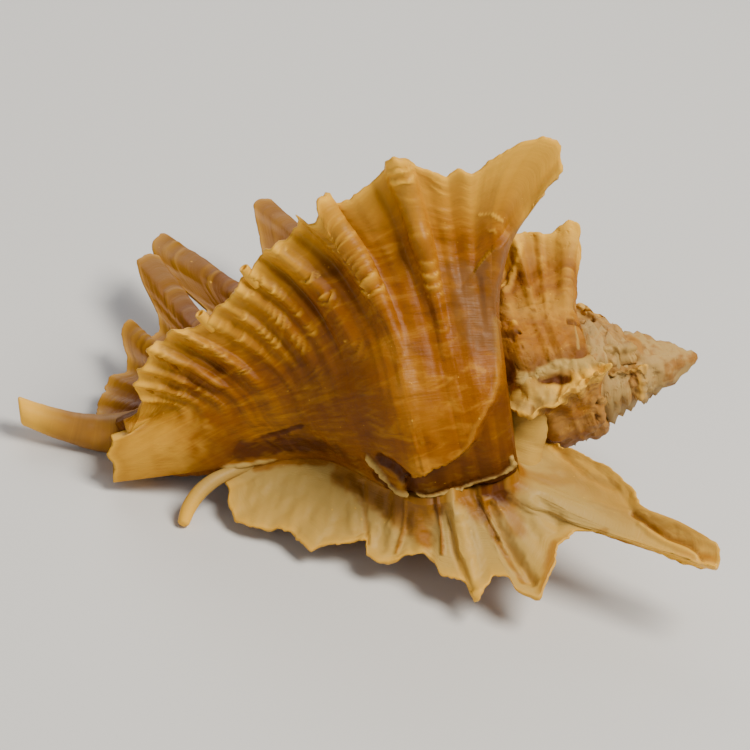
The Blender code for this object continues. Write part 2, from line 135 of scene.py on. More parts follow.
RIM_C = [
    (0.0, 34.5, 16.0), (0.03, 33.0, 24.0), (0.05, 31.5, 32.0), (0.065, 27.0, 38.0), (0.08, 23.0, 42.4),
    (0.087, 22.6, 44.6), (0.095, 24.0, 46.2), (0.11, 28.0, 44.0), (0.14, 33.0, 40.6), (0.17, 36.0, 40.2),
    (0.20, 38.5, 41.6), (0.235, 43.5, 44.6), (0.243, 44.6, 47.6), (0.25, 46.4, 48.6), (0.258, 48.0, 48.0),
    (0.27, 50.0, 45.0), (0.30, 53.0, 41.6), (0.335, 57.0, 40.6), (0.36, 60.8, 43.0), (0.369, 62.4, 52.2),
    (0.372, 62.8, 54.9), (0.381, 64.6, 55.5), (0.388, 66.0, 54.6), (0.394, 65.8, 50.4), (0.405, 65.4, 41.5),
    (0.43, 66.6, 33.6), (0.45, 67.8, 30.6), (0.47, 68.8, 30.0), (0.50, 70.6, 35.0), (0.52, 76.2, 41.6),
    (0.536, 79.9, 48.4), (0.54, 81.0, 50.2), (0.544, 82.0, 49.9), (0.552, 83.3, 47.8), (0.56, 83.1, 45.2),
    (0.572, 80.0, 37.7), (0.585, 75.3, 29.9), (0.625, 76.1, 26.9), (0.65, 77.8, 28.7), (0.668, 79.8, 34.1),
    (0.68, 81.4, 40.5), (0.688, 82.1, 44.2), (0.695, 83.8, 45.1), (0.705, 86.1, 44.1), (0.713, 85.5, 39.4),
    (0.722, 84.3, 34.9), (0.735, 83.2, 30.4), (0.748, 83.1, 26.4), (0.757, 84.8, 25.1), (0.766, 86.0, 26.1),
    (0.772, 86.7, 28.2), (0.778, 87.7, 29.5), (0.785, 88.8, 28.9), (0.792, 89.4, 27.1), (0.80, 89.2, 24.1),
    (0.81, 88.6, 21.1), (0.825, 89.0, 17.6), (0.85, 91.3, 16.6), (0.87, 92.7, 15.0), (0.885, 92.4, 13.5),
    (0.91, 93.8, 11.4), (0.93, 93.9, 9.4), (1.0, 95.0, 5.0),
]

# Rims of the spire's wings, numbered back from wing A: the first beside the aperture, the second upright
# behind wing B, the third a cream crest that faces the viewer, the others worn.
RIM_1 = [
    (0.0, 21.8, 11.3), (0.03, 21.4, 16.5), (0.05, 19.6, 18.9), (0.07, 18.0, 21.8), (0.10, 17.6, 25.8),
    (0.14, 19.9, 27.8), (0.17, 22.0, 26.6), (0.21, 24.6, 27.8), (0.25, 27.1, 26.8), (0.30, 30.0, 27.8),
    (0.35, 33.5, 25.7), (0.42, 37.3, 23.4), (0.50, 40.3, 16.1), (0.60, 43.9, 10.5), (0.80, 50.8, 6.4),
    (1.0, 58.9, 5.6),
]
RIM_2 = [
    (0.0, 18.6, 8.4), (0.03, 18.5, 11.0), (0.05, 18.5, 13.0), (0.057, 18.4, 14.4), (0.063, 18.0, 15.5),
    (0.072, 16.7, 16.7), (0.08, 15.8, 18.0), (0.091, 15.7, 20.1), (0.095, 15.8, 21.1), (0.10, 15.3, 21.9),
    (0.106, 15.5, 22.8), (0.116, 16.3, 23.8), (0.125, 17.4, 24.3), (0.148, 19.2, 23.4), (0.16, 20.0, 22.9),
    (0.176, 20.8, 23.0), (0.20, 21.7, 23.6), (0.235, 23.3, 24.0), (0.271, 25.4, 24.0), (0.30, 26.9, 25.0),
    (0.32, 27.9, 24.0), (0.34, 28.5, 22.9), (0.36, 28.7, 21.5), (0.38, 29.4, 20.4), (0.42, 32.1, 18.6),
    (0.50, 34.7, 14.0), (0.60, 37.8, 9.0), (0.80, 43.7, 5.4), (1.0, 50.7, 4.9),
]
RIM_3 = [
    (0.0, 17.2, 7.0), (0.04, 16.4, 9.2), (0.06, 15.4, 11.0), (0.075, 14.3, 13.0), (0.09, 14.6, 13.8),
    (0.11, 16.0, 13.4), (0.13, 16.8, 14.8), (0.15, 18.0, 14.9), (0.165, 18.6, 13.9), (0.20, 20.2, 15.4),
    (0.22, 21.2, 14.5), (0.24, 22.2, 15.3), (0.26, 23.0, 14.6), (0.29, 24.4, 15.4), (0.33, 26.0, 14.8),
    (0.37, 27.6, 15.4), (0.42, 29.5, 14.2), (0.50, 31.0, 11.4), (0.60, 32.0, 7.8), (0.80, 36.9, 4.6),
    (1.0, 42.8, 4.1),
]
RIM_4 = [
    (0.0, 15.2, 5.4), (0.05, 14.6, 7.4), (0.08, 14.0, 8.6), (0.12, 14.2, 9.8), (0.16, 15.2, 9.4),
    (0.20, 16.0, 10.6), (0.25, 17.2, 10.0), (0.30, 18.6, 11.0), (0.35, 20.0, 10.2), (0.42, 21.8, 10.8),
    (0.50, 23.7, 8.6), (0.60, 25.8, 6.2), (0.80, 29.8, 3.7), (1.0, 34.6, 3.3),
]
RIM_5 = [
    (0.0, 12.6, 4.6), (0.05, 12.0, 5.8), (0.10, 11.8, 6.6), (0.12, 12.9, 7.4), (0.15, 13.4, 8.5),
    (0.172, 14.0, 9.2), (0.20, 15.3, 9.6), (0.227, 15.6, 10.5), (0.25, 16.1, 11.2), (0.30, 18.1, 11.8),
    (0.36, 20.5, 11.4), (0.42, 22.4, 9.6), (0.50, 23.4, 6.4), (0.60, 24.6, 5.0), (0.80, 26.0, 3.6),
    (1.0, 28.0, 2.7),
]
RIM_WORN = [
    (0.0, 30.0, 11.0), (0.03, 28.0, 13.5), (0.05, 26.5, 15.6), (0.07, 26.0, 18.0), (0.10, 27.0, 20.6),
    (0.13, 29.6, 19.8), (0.16, 31.4, 21.8), (0.21, 33.6, 20.6), (0.26, 36.6, 22.4), (0.32, 40.0, 21.0),
    (0.40, 45.0, 21.6), (0.50, 50.0, 17.4), (0.60, 54.4, 13.0), (0.80, 62.9, 7.6), (1.0, 73.0, 6.6),
]

# The suture's shift along the shell, in mm, for each sector of the spire, the places over which it fades,
# and how slim the oldest whorls are, after the last full one.
SUTURE_SHIFT = [0.0, -1.0, -2.6, -0.9, 0.5, 0.6, 0.4, 0.2, 0.0]
SUTURE_BLEND = (0.05, 0.16)
OLD_SLIM = 0.93
LAST_FULL = 2
# The apex lies a little above the axis: (along where the lift is whole, along where it ends, lift in mm).
APEX_LIFT = (12.0, 26.0, 1.2)

# Spiral cords: (place, half width in places, height on the wing in mm, height of the scales on them in
# mm). One with a height below zero is a groove.
CORDS_A = [
    (0.095, 0.030, 1.4, 0.3), (0.16, 0.014, 0.4, 0.2), (0.243, 0.028, 1.5, 0.5), (0.322, 0.026, 1.3, 0.5),
    (0.39, 0.014, 0.5, 0.3), (0.46, 0.030, 1.0, 0.5), (0.53, 0.018, 0.4, 0.3), (0.60, 0.030, 0.7, 0.4),
    (0.66, 0.016, 0.4, 0.3), (0.72, 0.030, 0.6, 0.4), (0.80, 0.026, 0.5, 0.3), (0.88, 0.026, 0.4, 0.2),
]
CORDS_B = [
    (0.100, 0.034, 0.25, 0.0), (0.158, 0.018, 0.2, 0.05), (0.205, 0.022, 0.35, 0.08),
    (0.265, 0.028, 2.0, 0.50), (0.306, 0.016, -0.35, 0.0), (0.335, 0.014, 0.15, 0.05),
    (0.388, 0.026, 2.6, 0.60), (0.430, 0.016, -0.9, 0.0), (0.485, 0.032, 1.6, 0.45),
    (0.528, 0.012, -0.9, 0.0), (0.556, 0.014, 0.9, 0.30), (0.592, 0.020, 1.1, 0.35),
    (0.632, 0.014, 0.8, 0.3), (0.664, 0.014, 0.8, 0.3), (0.735, 0.030, 1.3, 0.25), (0.776, 0.012, -0.6, 0.0),
    (0.812, 0.018, 1.2, 0.25), (0.852, 0.013, 0.9, 0.25), (0.882, 0.012, 0.8, 0.2),
    (0.912, 0.012, 0.6, 0.15),
]
CORDS_C = [
    (0.095, 0.030, 1.0, 0.2), (0.16, 0.016, 0.4, 0.15), (0.25, 0.026, 1.2, 0.25), (0.32, 0.016, 0.4, 0.2),
    (0.381, 0.028, 0.5, 0.2), (0.45, 0.018, 0.4, 0.2), (0.543, 0.030, 0.5, 0.2), (0.60, 0.014, 0.3, 0.15),
    (0.698, 0.030, 0.5, 0.2), (0.74, 0.014, 0.3, 0.15), (0.78, 0.018, 0.6, 0.2), (0.81, 0.014, 0.4, 0.15),
    (0.85, 0.018, 0.5, 0.15), (0.90, 0.018, 0.4, 0.15), (0.95, 0.020, 0.3, 0.1),
]
CORDS_SPIRE = [
    (0.12, 0.030, 0.8, 0.2), (0.20, 0.026, 0.5, 0.2), (0.28, 0.034, 1.2, 0.25), (0.38, 0.034, 0.8, 0.3),
]

# Marks on the surface: (height in mm, half width in mm, colours by mask, line). A line of (along, reach)
# bends the sheet of wing A and colours its front. One of (along, turn, reach) acts in space, on both sides
# of the sector of wing B and of the spire's. Where a mark sinks in, its deep colour is painted shade in the
# dent it makes, and its stain is in part painted shade there.
MARKS = {
    "A": [
        (0.9, 1.6, {}, [(23.1, 10.7), (20.8, 12.8), (18.5, 14.4), (16.9, 16.4), (15.3, 18.7), (13.7, 21.4),
             (13.0, 24.2), (12.4, 25.1), (7.7, 28.4), (2.6, 32.6)]),
        (-0.4, 1.1, {"stain": 0.5}, [(25.4, 9.6), (22.9, 13.6), (20.2, 17.6), (16.7, 20.2)]),
        (0.0, 2.2, {"stain": 0.35}, [(30.3, 16.8), (26.6, 17.6), (22.2, 17.8), (18.6, 19.1)]),
        (-0.5, 0.9, {"stain": 0.9, "deep": 0.5}, [(38.4, 17.5), (37.6, 20.9), (36.6, 23.6), (35.6, 26.6)]),
        (-0.4, 0.8, {"stain": 0.7}, [(35.6, 26.6), (34.2, 30.0), (32.6, 33.6)]),
        (-1.0, 1.4, {"stain": 0.25}, [(35.6, 22.1), (33.6, 27.7), (31.2, 33.7)]),
        (0.9, 2.2, {"pale": 0.25}, [(41.1, 21.2), (40.6, 26.8), (39.6, 34.6)]),
        (-0.7, 0.9, {"stain": 0.3}, [(42.0, 22.2), (41.8, 27.2), (40.6, 34.0)]),
        (0.4, 0.45, {"stain": 0.9}, [(43.5, 16.9), (43.5, 24.2), (43.8, 27.3)]),
        (0.5, 1.6, {}, [(47.2, 21.9), (46.9, 26.0)]),
        (0.4, 0.45, {"stain": 0.9}, [(48.2, 19.4), (49.2, 22.7), (50.8, 25.8)]),
        (-0.6, 1.8, {}, [(51.2, 17.2), (53.0, 24.4)]),
        (-0.4, 0.7, {"stain": 0.35}, [(54.4, 14.2), (54.8, 23.4)]),
        (0.35, 1.2, {}, [(56.1, 13.2), (56.8, 21.0)]),
        (-0.13, 1.1, {}, [(71.3, 9.3), (73.5, 14.8)]),
        (0.13, 1.1, {}, [(68.8, 9.9), (71.5, 16.8)]),
        (-0.13, 1.1, {}, [(66.2, 10.1), (69.2, 17.7)]),
        (0.13, 1.1, {}, [(63.4, 10.6), (66.0, 18.7)]),
        (-0.13, 1.1, {}, [(61.0, 11.3), (63.8, 20.2)]),
        (0.13, 1.1, {}, [(58.2, 12.4), (60.9, 21.2)]),
        (0.0, 3.6, {"stain": 1.3, "deep": 0.6}, [(50.2, 18.8), (47.4, 21.4), (44.4, 20.2)]),
        (0.0, 2.2, {"stain": 1.2}, [(47.2, 21.5), (46.2, 24.8)]),
        (-0.3, 1.6, {"deep": 0.9}, [(44.3, 18.8), (43.4, 22.0)]),
        (0.0, 2.6, {"stain": 1.2, "deep": 0.5}, [(57.4, 12.0), (55.0, 14.2), (52.6, 16.6), (50.2, 18.8)]),
        (0.5, 1.3, {"cream": 0.9}, [(42.7, 17.6), (41.6, 20.2), (40.9, 22.6)]),
        (-0.6, 2.4, {"deep": 1.3}, [(36.4, 19.6), (35.0, 20.2), (33.6, 20.6)]),
        (-0.4, 1.2, {"deep": 0.8}, [(39.4, 18.6), (37.8, 20.8), (36.8, 23.4)]),
        (0.0, 4.6, {"stain": 0.9}, [(36.6, 19.6), (33.8, 21.0)]),
        (0.0, 2.4, {"stain": 0.6}, [(33.6, 21.4), (32.6, 23.0), (32.0, 25.4)]),
        (0.0, 5.5, {"stain": 0.35}, [(22.0, 16.0), (14.0, 24.0), (6.0, 31.0)]),
        (0.0, 3.4, {"stain": 1.0}, [(41.6, 18.4), (38.2, 20.2), (36.8, 22.0)]),
        (0.0, 1.6, {"stain": 0.8}, [(26.9, 28.5), (28.2, 32.0), (29.7, 35.7)]),
        (0.0, 1.0, {"stain": 0.5}, [(19.0, 27.6), (24.2, 27.0), (26.9, 28.5)]),
        (-0.5, 0.7, {"stain": 1.0, "deep": 0.4}, [(14.3, 25.0), (12.0, 27.4), (9.6, 29.9), (6.7, 31.6),
             (5.4, 33.7)]),
        (0.5, 0.8, {"pale": 0.3}, [(13.6, 27.0), (10.3, 30.4), (6.5, 33.1), (3.8, 35.9)]),
        (-1.3, 1.3, {}, [(5.1, 33.9), (3.3, 34.8)]),
        (0.0, 1.2, {"stain": 0.8}, [(70.2, 7.6), (64.7, 7.8), (59.6, 9.0)]),
        (-0.5, 1.8, {}, [(27.8, 22.0), (26.0, 24.4)]),
        (0.5, 2.2, {}, [(29.9, 22.0), (28.3, 25.6)]),
    ],
    "B": [
        (0.8, 0.65, {"cream": 1.0}, [(52.9, -23, 16.5), (52.1, -27, 16.8), (51.1, -33, 17.4),
             (50.1, -39, 17.9), (48.2, -40, 19.3)]),
        (0.6, 0.55, {"cream": 1.0}, [(48.2, -40, 19.3), (45.7, -45, 19.1), (43.9, -45, 19.2),
             (41.3, -45, 18.9), (39.6, -45, 18.6)]),
        (0.5, 0.6, {"cream": 0.9}, [(39.6, -45, 18.6), (37.4, -43, 18.9), (35.0, -41, 18.9),
             (32.8, -41, 18.4), (31.3, -39, 17.3), (31.5, -33, 17.6)]),
        (0.5, 0.7, {"cream": 1.0}, [(75.0, -43, 7.2), (70.0, -43, 7.8), (65.0, -43, 8.3), (60.4, -43, 9.3)]),
        # Painted shadow: a dark band along the crust, under the dome's lower edge.
        (-0.2, 2.0, {"deep": 0.9}, [(51.6, -38, 16.4), (49.4, -42, 17.8), (46.0, -45, 19.1),
             (39.6, -45, 18.6), (35.0, -43, 18.9), (32.0, -43, 17.9)]),
        (-0.9, 1.8, {"deep": 0.9}, [(50.9, -23, 18.3), (49.2, -26, 19.6), (47.9, -30, 20.5)]),
        (0.0, 7.5, {"pale": 0.5}, [(90.6, -20, 6.6), (88.6, 2, 6.4), (84.0, 14, 6.4)]),
        (0.0, 14.0, {"pale": 0.5}, [(92.0, -20, 7.0), (86.0, 2, 6.4)]),
        (-0.15, 0.5, {"deep": 0.4}, [(69.6, -12, 7.7), (65.7, -7, 8.4), (62.2, -2, 9.9)]),
        (-0.2, 2.8, {"deep": 0.3}, [(72.1, -25, 7.4), (67.3, -23, 7.8), (62.6, -22, 9.0),
             (58.1, -25, 12.4)]),
        (0.0, 0.35, {"pale": 0.8}, [(53.7, 32, 21.3), (53.3, 31, 21.5)]),
        (-0.3, 0.35, {"deep": 1.0}, [(42.7, 53, 46.1), (42.7, 53, 46.0)]),
        (0.15, 0.4, {"pale": 0.5}, [(31.2, 53, 34.1), (29.5, 52, 34.4), (27.9, 51, 33.2)]),
        (0.15, 0.4, {"pale": 0.4}, [(30.7, 50, 32.3), (29.5, 50, 32.2), (28.5, 49, 31.4)]),
        (0.0, 4.5, {"blush": 0.7}, [(35.9, 44, 28.1), (34.9, 35, 25.0), (34.4, 26, 22.9)]),
        (0.0, 3.0, {"blush": 1.0}, [(31.4, 38, 24.0), (31.0, 28, 22.4), (31.4, 20, 22.0)]),
    ],
    "spire": [
        (-0.4, 1.5, {"deep": 1.0}, [(24.9, 7, 11.9), (23.0, 5, 12.0), (21.6, 3, 12.3)]),
        (0.0, 1.9, {"stain": 0.6}, [(25.6, 6, 11.8), (21.0, 4, 12.4)]),
        (0.5, 1.4, {"cream": 1.0}, [(28.2, 10, 11.0), (22.0, 14, 11.8), (16.0, 9, 12.6)]),
        (0.0, 3.4, {"pale": 0.8}, [(28.2, 2, 11.6), (22.0, -2, 13.4), (16.0, 4, 13.2)]),
        (0.7, 1.2, {"cream": 0.7}, [(17.6, 26, 9.4), (15.7, 30, 7.1), (11.4, 25, 6.3), (7.0, 38, 3.9)]),
        (-0.4, 0.6, {"deep": 0.8}, [(17.0, 38, 7.7), (16.4, 30, 7.5)]),
        (-0.4, 0.5, {"deep": 0.7}, [(13.4, 25, 5.8), (12.8, 21, 6.1)]),
        (0.3, 0.8, {"stain": 1.0}, [(9.0, 82, 5.1), (8.3, 86, 4.7)]),
        (0.5, 1.0, {"pale": 0.4}, [(28.1, 80, 15.8), (26.4, 87, 19.1), (25.0, 89, 22.2)]),
        (-0.3, 0.5, {"deep": 0.3}, [(27.1, 69, 13.8), (23.2, 69, 13.8), (20.6, 68, 13.0)]),
        (-0.6, 0.6, {"deep": 0.8}, [(27.7, 47, 13.2), (27.3, 44, 12.9)]),
        (0.5, 0.7, {"pale": 0.5}, [(28.3, 53, 13.2), (27.7, 51, 13.1)]),
        (0.0, 5.0, {"pale": 0.35}, [(27.0, 66, 13.5), (20.0, 66, 13.0)]),
        (0.1, 0.3, {"cream": 0.6}, [(18.7, 65, 12.9), (18.8, 47, 11.7), (18.8, 25, 11.3)]),
        (-0.7, 0.8, {"deep": 0.9}, [(13.7, -50, 6.7), (13.0, -82, 6.4)]),
        (0.6, 0.8, {"cream": 0.4}, [(16.6, -23, 9.8), (15.7, -42, 7.1)]),
        (0.6, 0.9, {"cream": 0.3}, [(10.7, -44, 5.8), (9.5, -58, 5.5)]),
        (0.3, 2.0, {"cream": 0.6}, [(28.5, 9, 10.9), (26.3, -2, 12.4), (23.9, -6, 13.1)]),
        (0.5, 0.9, {"pale": 0.5}, [(9.0, 42, 4.9), (9.2, -6, 6.4), (10.1, -46, 5.6)]),
        (-0.5, 0.7, {"deep": 0.7}, [(7.7, 82, 4.3), (7.0, 86, 4.1)]),
    ],
}

# The shoulder keel of the last whorl: its along at each turn, its drop beyond, and its raised lamella.
KEEL = [
    (-60.0, 50.0), (-32.0, 48.0), (-29.0, 46.0), (-27.0, 44.0), (-25.0, 41.0), (-22.5, 39.2), (-18.0, 37.2),
    (-12.0, 36.2), (-6.0, 34.4), (0.0, 32.8), (5.0, 31.9), (14.0, 31.2), (24.0, 30.9), (34.0, 30.7),
    (60.0, 30.5),
]
KEEL_DROP = 1.9
KEEL_HEIGHT = 0.2
# The keel's pointed flap over wing B's blade: (along, up) of its free edge's left and top, and its height.
FLAP_LEFT = (34.0, 18.2)
FLAP_TOP = (29.8, 22.3)
FLAP_HEIGHT = 1.1
# Siphonal canals: (along, toward the viewer, up, radius) down the middle of each tube.
CANAL_A = [
    (70.0, 4.0, -5.2, 0.8), (74.6, 5.2, -6.1, 1.0), (77.2, 6.2, -7.0, 1.15), (79.6, 7.2, -8.6, 1.2),
    (81.3, 8.0, -10.6, 1.15), (82.2, 8.6, -12.4, 0.95),
]
CANAL_B = [
    (62.0, 0.4, 0.2, 5.6), (70.0, 0.4, -0.5, 5.4), (78.0, 0.4, -1.0, 5.0), (84.0, 0.4, -1.0, 4.3),
    (90.5, 0.4, -1.2, 3.6),
]
CANAL_C = [
    (50.0, -4.0, 0.0, 4.0), (64.0, -5.0, 0.4, 6.4), (76.0, -5.0, 1.4, 5.4), (86.0, -4.4, 1.8, 4.2),
    (93.0, -3.6, 2.6, 3.0), (99.2, -2.8, 4.8, 2.35), (105.2, -2.1, 7.9, 2.0),
]
TIP = [
    (0.2, 0.0, 0.2, 0.35), (0.6, 0.0, 0.2, 0.85), (1.8, 0.0, 0.0, 1.4), (4.2, 0.0, 0.0, 2.5),
    (7.4, 0.0, 0.0, 4.2), (10.0, 0.0, 0.0, 5.2), (22.0, 0.0, 0.0, 8.2), (34.0, 0.0, 0.0, 8.6),
    (50.0, 0.0, 0.0, 6.5), (62.0, 0.0, 0.0, 4.5), (80.0, 0.0, 0.0, 3.0),
]

# The pale callus between wing A's front and the spire: (along, toward the viewer, up, radius).
CALLUS = [
    (35.0, 7.6, -14.5, 3.6), (33.0, 7.8, -12.6, 4.2), (31.0, 7.6, -10.0, 4.2), (29.3, 8.2, -7.0, 3.8),
    (28.2, 9.5, -4.0, 3.3), (27.4, 10.1, -1.0, 2.9), (26.6, 9.8, 1.6, 2.1),
]
CALLUS_FLATNESS = 0.6

# Each canal's line, the open share of its end, its flatness, the lean of its end and how cream it is.
CANAL_LOOKS = [
    (CANAL_A, 0.0, 1.0, 0.0, 0.9), (CANAL_B, 0.85, 1.0, -0.3, 0.0), (CANAL_C, 0.5, 1.0, -0.5, 0.3),
]

# The cream crest of the spire that faces the viewer: which sector it is, and how its rim leans.
CREST_NUMBER = 3
CREST_WING = {"root": -341.0, "lift": -392.0, "rim": -364.5, "lean": 1.4, "middle": 20.0}
# How far wing B's canal end reaches beyond its outline: (turn, mm), and the place where that starts.
TONGUE = [
    (-45.0, 19.9), (-27.0, 16.7), (-5.0, 14.3), (6.0, 11.8), (14.0, 10.4), (23.0, 7.3), (37.0, 4.6),
    (50.0, 1.5), (55.0, 0.0),
]
TONGUE_START = 0.82
# Short broken tubes on the rim of wing B: (along, toward the viewer, up, radius).
NUBS = [[(65.6, 15.2, 21.6, 0.8), (66.5, 16.1, 22.9, 0.85), (67.3, 17.1, 24.4, 0.8)],
        [(73.3, 11.3, 16.0, 0.7), (74.2, 12.1, 17.3, 0.85), (75.0, 13.0, 18.6, 0.85)]]

# How weathered each sector of the spire is, how cream its front, and how high its knobs in mm.
OLDNESS = [0.0, 0.1, 0.12, 0.3, 0.45, 0.6, 0.9, 1.0]
CREAM = [1.0, 0.6, 0.4, 0.9, 0.5, 0.5, 0.3, 0.3]
WORN = [0.0, 0.15, 0.2, 0.45, 0.5, 0.6, 0.6, 0.5]

# Millimetres between the points at which a rim is first sampled.
FINE_STEP = 0.05

# Colours of the pigment group, and those of them that masks lay over the body colour, in this order.
PIGMENTS = ("Body", "Tan", "Deep", "Blush", "Cream", "Stain", "Pale", "Old")
LAID_OVER = PIGMENTS[2:]

# Height of the fine relief in the finishes, in mm.
FINE_RELIEF = 0.12

# The hollow behind the aperture: (turn, along, reach, half length, half width), and how far the inside
# rows of the sector around it keep off it, in mm.
HOLLOW = [
    (124.0, 46.5, 15.4, 6.5, 4.0), (140.0, 47.5, 15.6, 10.5, 6.0), (158.0, 48.5, 16.0, 13.0, 7.4),
    (176.0, 49.5, 16.6, 14.6, 8.6), (196.0, 50.0, 17.0, 15.5, 9.6),
]
HOLLOW_WALL = 0.6


# The flap: its fade below its edge in mm, how far it may pass its edge, and the middle and half width of
# the pale line on it, a painted highlight along its edge, in mm up the edge from its left end.
FLAP_FADE = 6.0
FLAP_MARGIN = 3.0
FLAP_LINE = (3.0, 3.5)


def flap_of(points):
    """How far points lie inside the keel's flap, in mm from its free edge, a share that fades it below,
    and a share that keeps the pale line of its edge, a painted highlight, to its tip."""
    left, top = np.array(FLAP_LEFT), np.array(FLAP_TOP)
    edge = (top - left) / np.linalg.norm(top - left)
    offset = np.stack([-points[..., 0], points[..., 2]], -1) - left
    depth, up_edge = offset @ np.array([-edge[1], edge[0]]), offset @ edge
    share = np.exp(-np.maximum(depth, 0) / FLAP_FADE) * ease(-3.0, 4.0, up_edge) * (depth > -FLAP_MARGIN)
    middle, half = FLAP_LINE
    return depth, share, bump((up_edge - middle) / half)


def away_from(line, points):
    """Least distance from points to a line through the given ones; all have the same two or three axes."""
    line = np.array(line, float)
    if len(line) == 1:
        return np.linalg.norm(points - line[0], axis=-1)
    least = np.full(points.shape[:-1], np.inf)
    for start, step in zip(line[:-1], np.diff(line, axis=0)):
        share = np.clip((points - start) @ step / (step @ step), 0, 1)
        least = np.minimum(least, np.linalg.norm(points - start - share[..., None] * step, axis=-1))
    return least


# Noise that makes a mark's edge ragged and its height uneven: (strength, mm between values, seed).
EDGE_NOISE = ((1.0, 1.2, 31), (0.5, 0.5, 32))
HEIGHT_NOISE = (0.5, 0.8, 33)
# How far a mark's edge strays: in mm, and as a share of its half width on the sheet and in space.
STRAY_MM = 0.12
STRAY_ON_SHEET = 0.08
STRAY_IN_SPACE = 0.16
# The share of its height at which a mark's colour is whole: soft for marks on the sheet and broad ones.
SOFT_PAINT = 1.1
CRISP_PAINT = 0.6
BROAD_MARK = 2.5


def marked(grid, marks):
    """Relief of the marks on the outer side and on the front, in mm, and their colours by mask name.

    A mark whose points are (along, reach) lies on the wing's sheet: its front height is taken from the
    back, so the sheet bends. One whose points are (along, turn, reach) lies in space, on both sides. A
    mark is a raised cosine across its half width, which noise makes ragged; its height varies by noise as
    well."""
    points = grid["points"]
    front, outer = (grid["kind"] == FRONT)[:, None], (grid["kind"] == OUTER)[:, None]
    on_outer, on_front, colours = np.zeros(grid["out"].shape), np.zeros(grid["out"].shape), {}
    sheet = np.stack([grid["along"], grid["reach"]], -1)
    if marks:
        rough = sum(strength * space_noise(points, cell, seed) for strength, cell, seed in EDGE_NOISE)
        uneven, cell, seed = HEIGHT_NOISE
        lumps = 1 + uneven * space_noise(points, cell, seed)
    for height, half, paint, line in marks:
        on_sheet = len(line[0]) == 2
        if on_sheet:
            away, stray = away_from(line, sheet), STRAY_ON_SHEET
        else:
            away, stray = away_from(axis_point(*np.array(line, float).T), points), STRAY_IN_SPACE
        shape = bump(np.maximum(away + (STRAY_MM + stray * half) * rough, 0.0) / half)
        if on_sheet:
            on_front += height * shape
            on_outer -= height * shape
        else:
            on_front += height * shape * lumps
            on_outer += height * shape * lumps
        whole_at = SOFT_PAINT if on_sheet or half > BROAD_MARK else CRISP_PAINT
        for name, strength in paint.items():
            share = strength * ease(0.0, whole_at, shape)
            colours[name] = np.maximum(colours.get(name, 0), share * (front if on_sheet else front | outer))
    return on_outer, on_front, colours


def plain_masks(shape, **values):
    """Colour masks of a part: zero, or the values given by name."""
    names = ("pale", "deep", "blush", "cream", "stain", "old", "growth", "ray")
    return {name: np.broadcast_to(np.asarray(values.get(name, 0.0), float), shape) for name in names}


def smooth_through(knots, values, at):
    """Cubic pieces through the knots; the slope at a knot is the weighted mean of the chords beside it."""
    knots, values = np.asarray(knots, float), np.asarray(values, float)
    slopes = np.gradient(values, knots, axis=0)
    left = np.clip(np.searchsorted(knots, at, side="right") - 1, 0, len(knots) - 2)
    width = knots[left + 1] - knots[left]
    share = np.clip((at - knots[left]) / width, 0.0, 1.0)
    if values.ndim > 1:
        width, share = width[..., None], share[..., None]
    square, cube = share ** 2, share ** 3
    return (values[left] * (2 * cube - 3 * square + 1) + slopes[left] * width * (cube - 2 * square + share)
            + values[left + 1] * (3 * square - 2 * cube) + slopes[left + 1] * width * (cube - square))


def ease(low, high, value):
    """0 below low, 1 above high, and 3s^2 - 2s^3 of the share s between them.

    Low and high stand in place in each formula: where a feature starts and where it is whole, in shares of
    the way out to the rim, in places, in degrees or in mm."""
    share = np.clip((value - low) / (high - low), 0.0, 1.0)
    return share * share * (3 - 2 * share)


def bump(offset):
    """A raised cosine: 1 at offset 0, falling to 0 at offsets -1 and 1."""
    return 0.5 * (1 + np.cos(np.pi * np.clip(offset, -1.0, 1.0)))


# How many random values the noises hold on each side before they repeat.
FLAT_LATTICE = (61, 67)
CUBIC_LATTICE = 29


def grid_noise(across, down, seed):
    """Noise from -1 to 1: random values on a unit grid, eased between the four corners round a point."""
    wide, high = FLAT_LATTICE
    lattice = np.random.default_rng(seed).uniform(-1, 1, FLAT_LATTICE)
    across, down = np.broadcast_arrays(np.asarray(across, float), np.asarray(down, float))
    i, j = np.floor(across).astype(int), np.floor(down).astype(int)
    s, t = across - i, down - j
    s, t = s * s * (3 - 2 * s), t * t * (3 - 2 * t)
    corner = [lattice[(i + a) % wide, (j + b) % high] for a in (0, 1) for b in (0, 1)]
    return (corner[0] * (1 - t) + corner[1] * t) * (1 - s) + (corner[2] * (1 - t) + corner[3] * t) * s


def space_noise(points, cell, seed):
    """Noise from -1 to 1 in space: random values on a cubic lattice of this cell, eased between corners."""
    lattice = np.random.default_rng(seed).uniform(-1, 1, (CUBIC_LATTICE,) * 3)
    scaled_points = points / cell
    base = np.floor(scaled_points).astype(int)
    part = scaled_points - base
    part = part * part * (3 - 2 * part)
    total = np.zeros(points.shape[:-1])
    for a, b, c in np.ndindex(2, 2, 2):
        weight = ((part[..., 0] if a else 1 - part[..., 0]) * (part[..., 1] if b else 1 - part[..., 1])
                  * (part[..., 2] if c else 1 - part[..., 2]))
        corner = (base + (a, b, c)) % CUBIC_LATTICE
        total += weight * lattice[corner[..., 0], corner[..., 1], corner[..., 2]]
    return total


def outline(stations, places):
    """Along and reach of a whorl outline at these places, smooth through its stations."""
    table = np.array(stations)
    both = smooth_through(table[:, 0], table[:, 1:], places)
    return both[..., 0], both[..., 1]


def scaled(stations, factor):
    """Stations shrunk toward the apex by this factor."""
    return [(place, along * factor, reach * factor) for place, along, reach in stations]


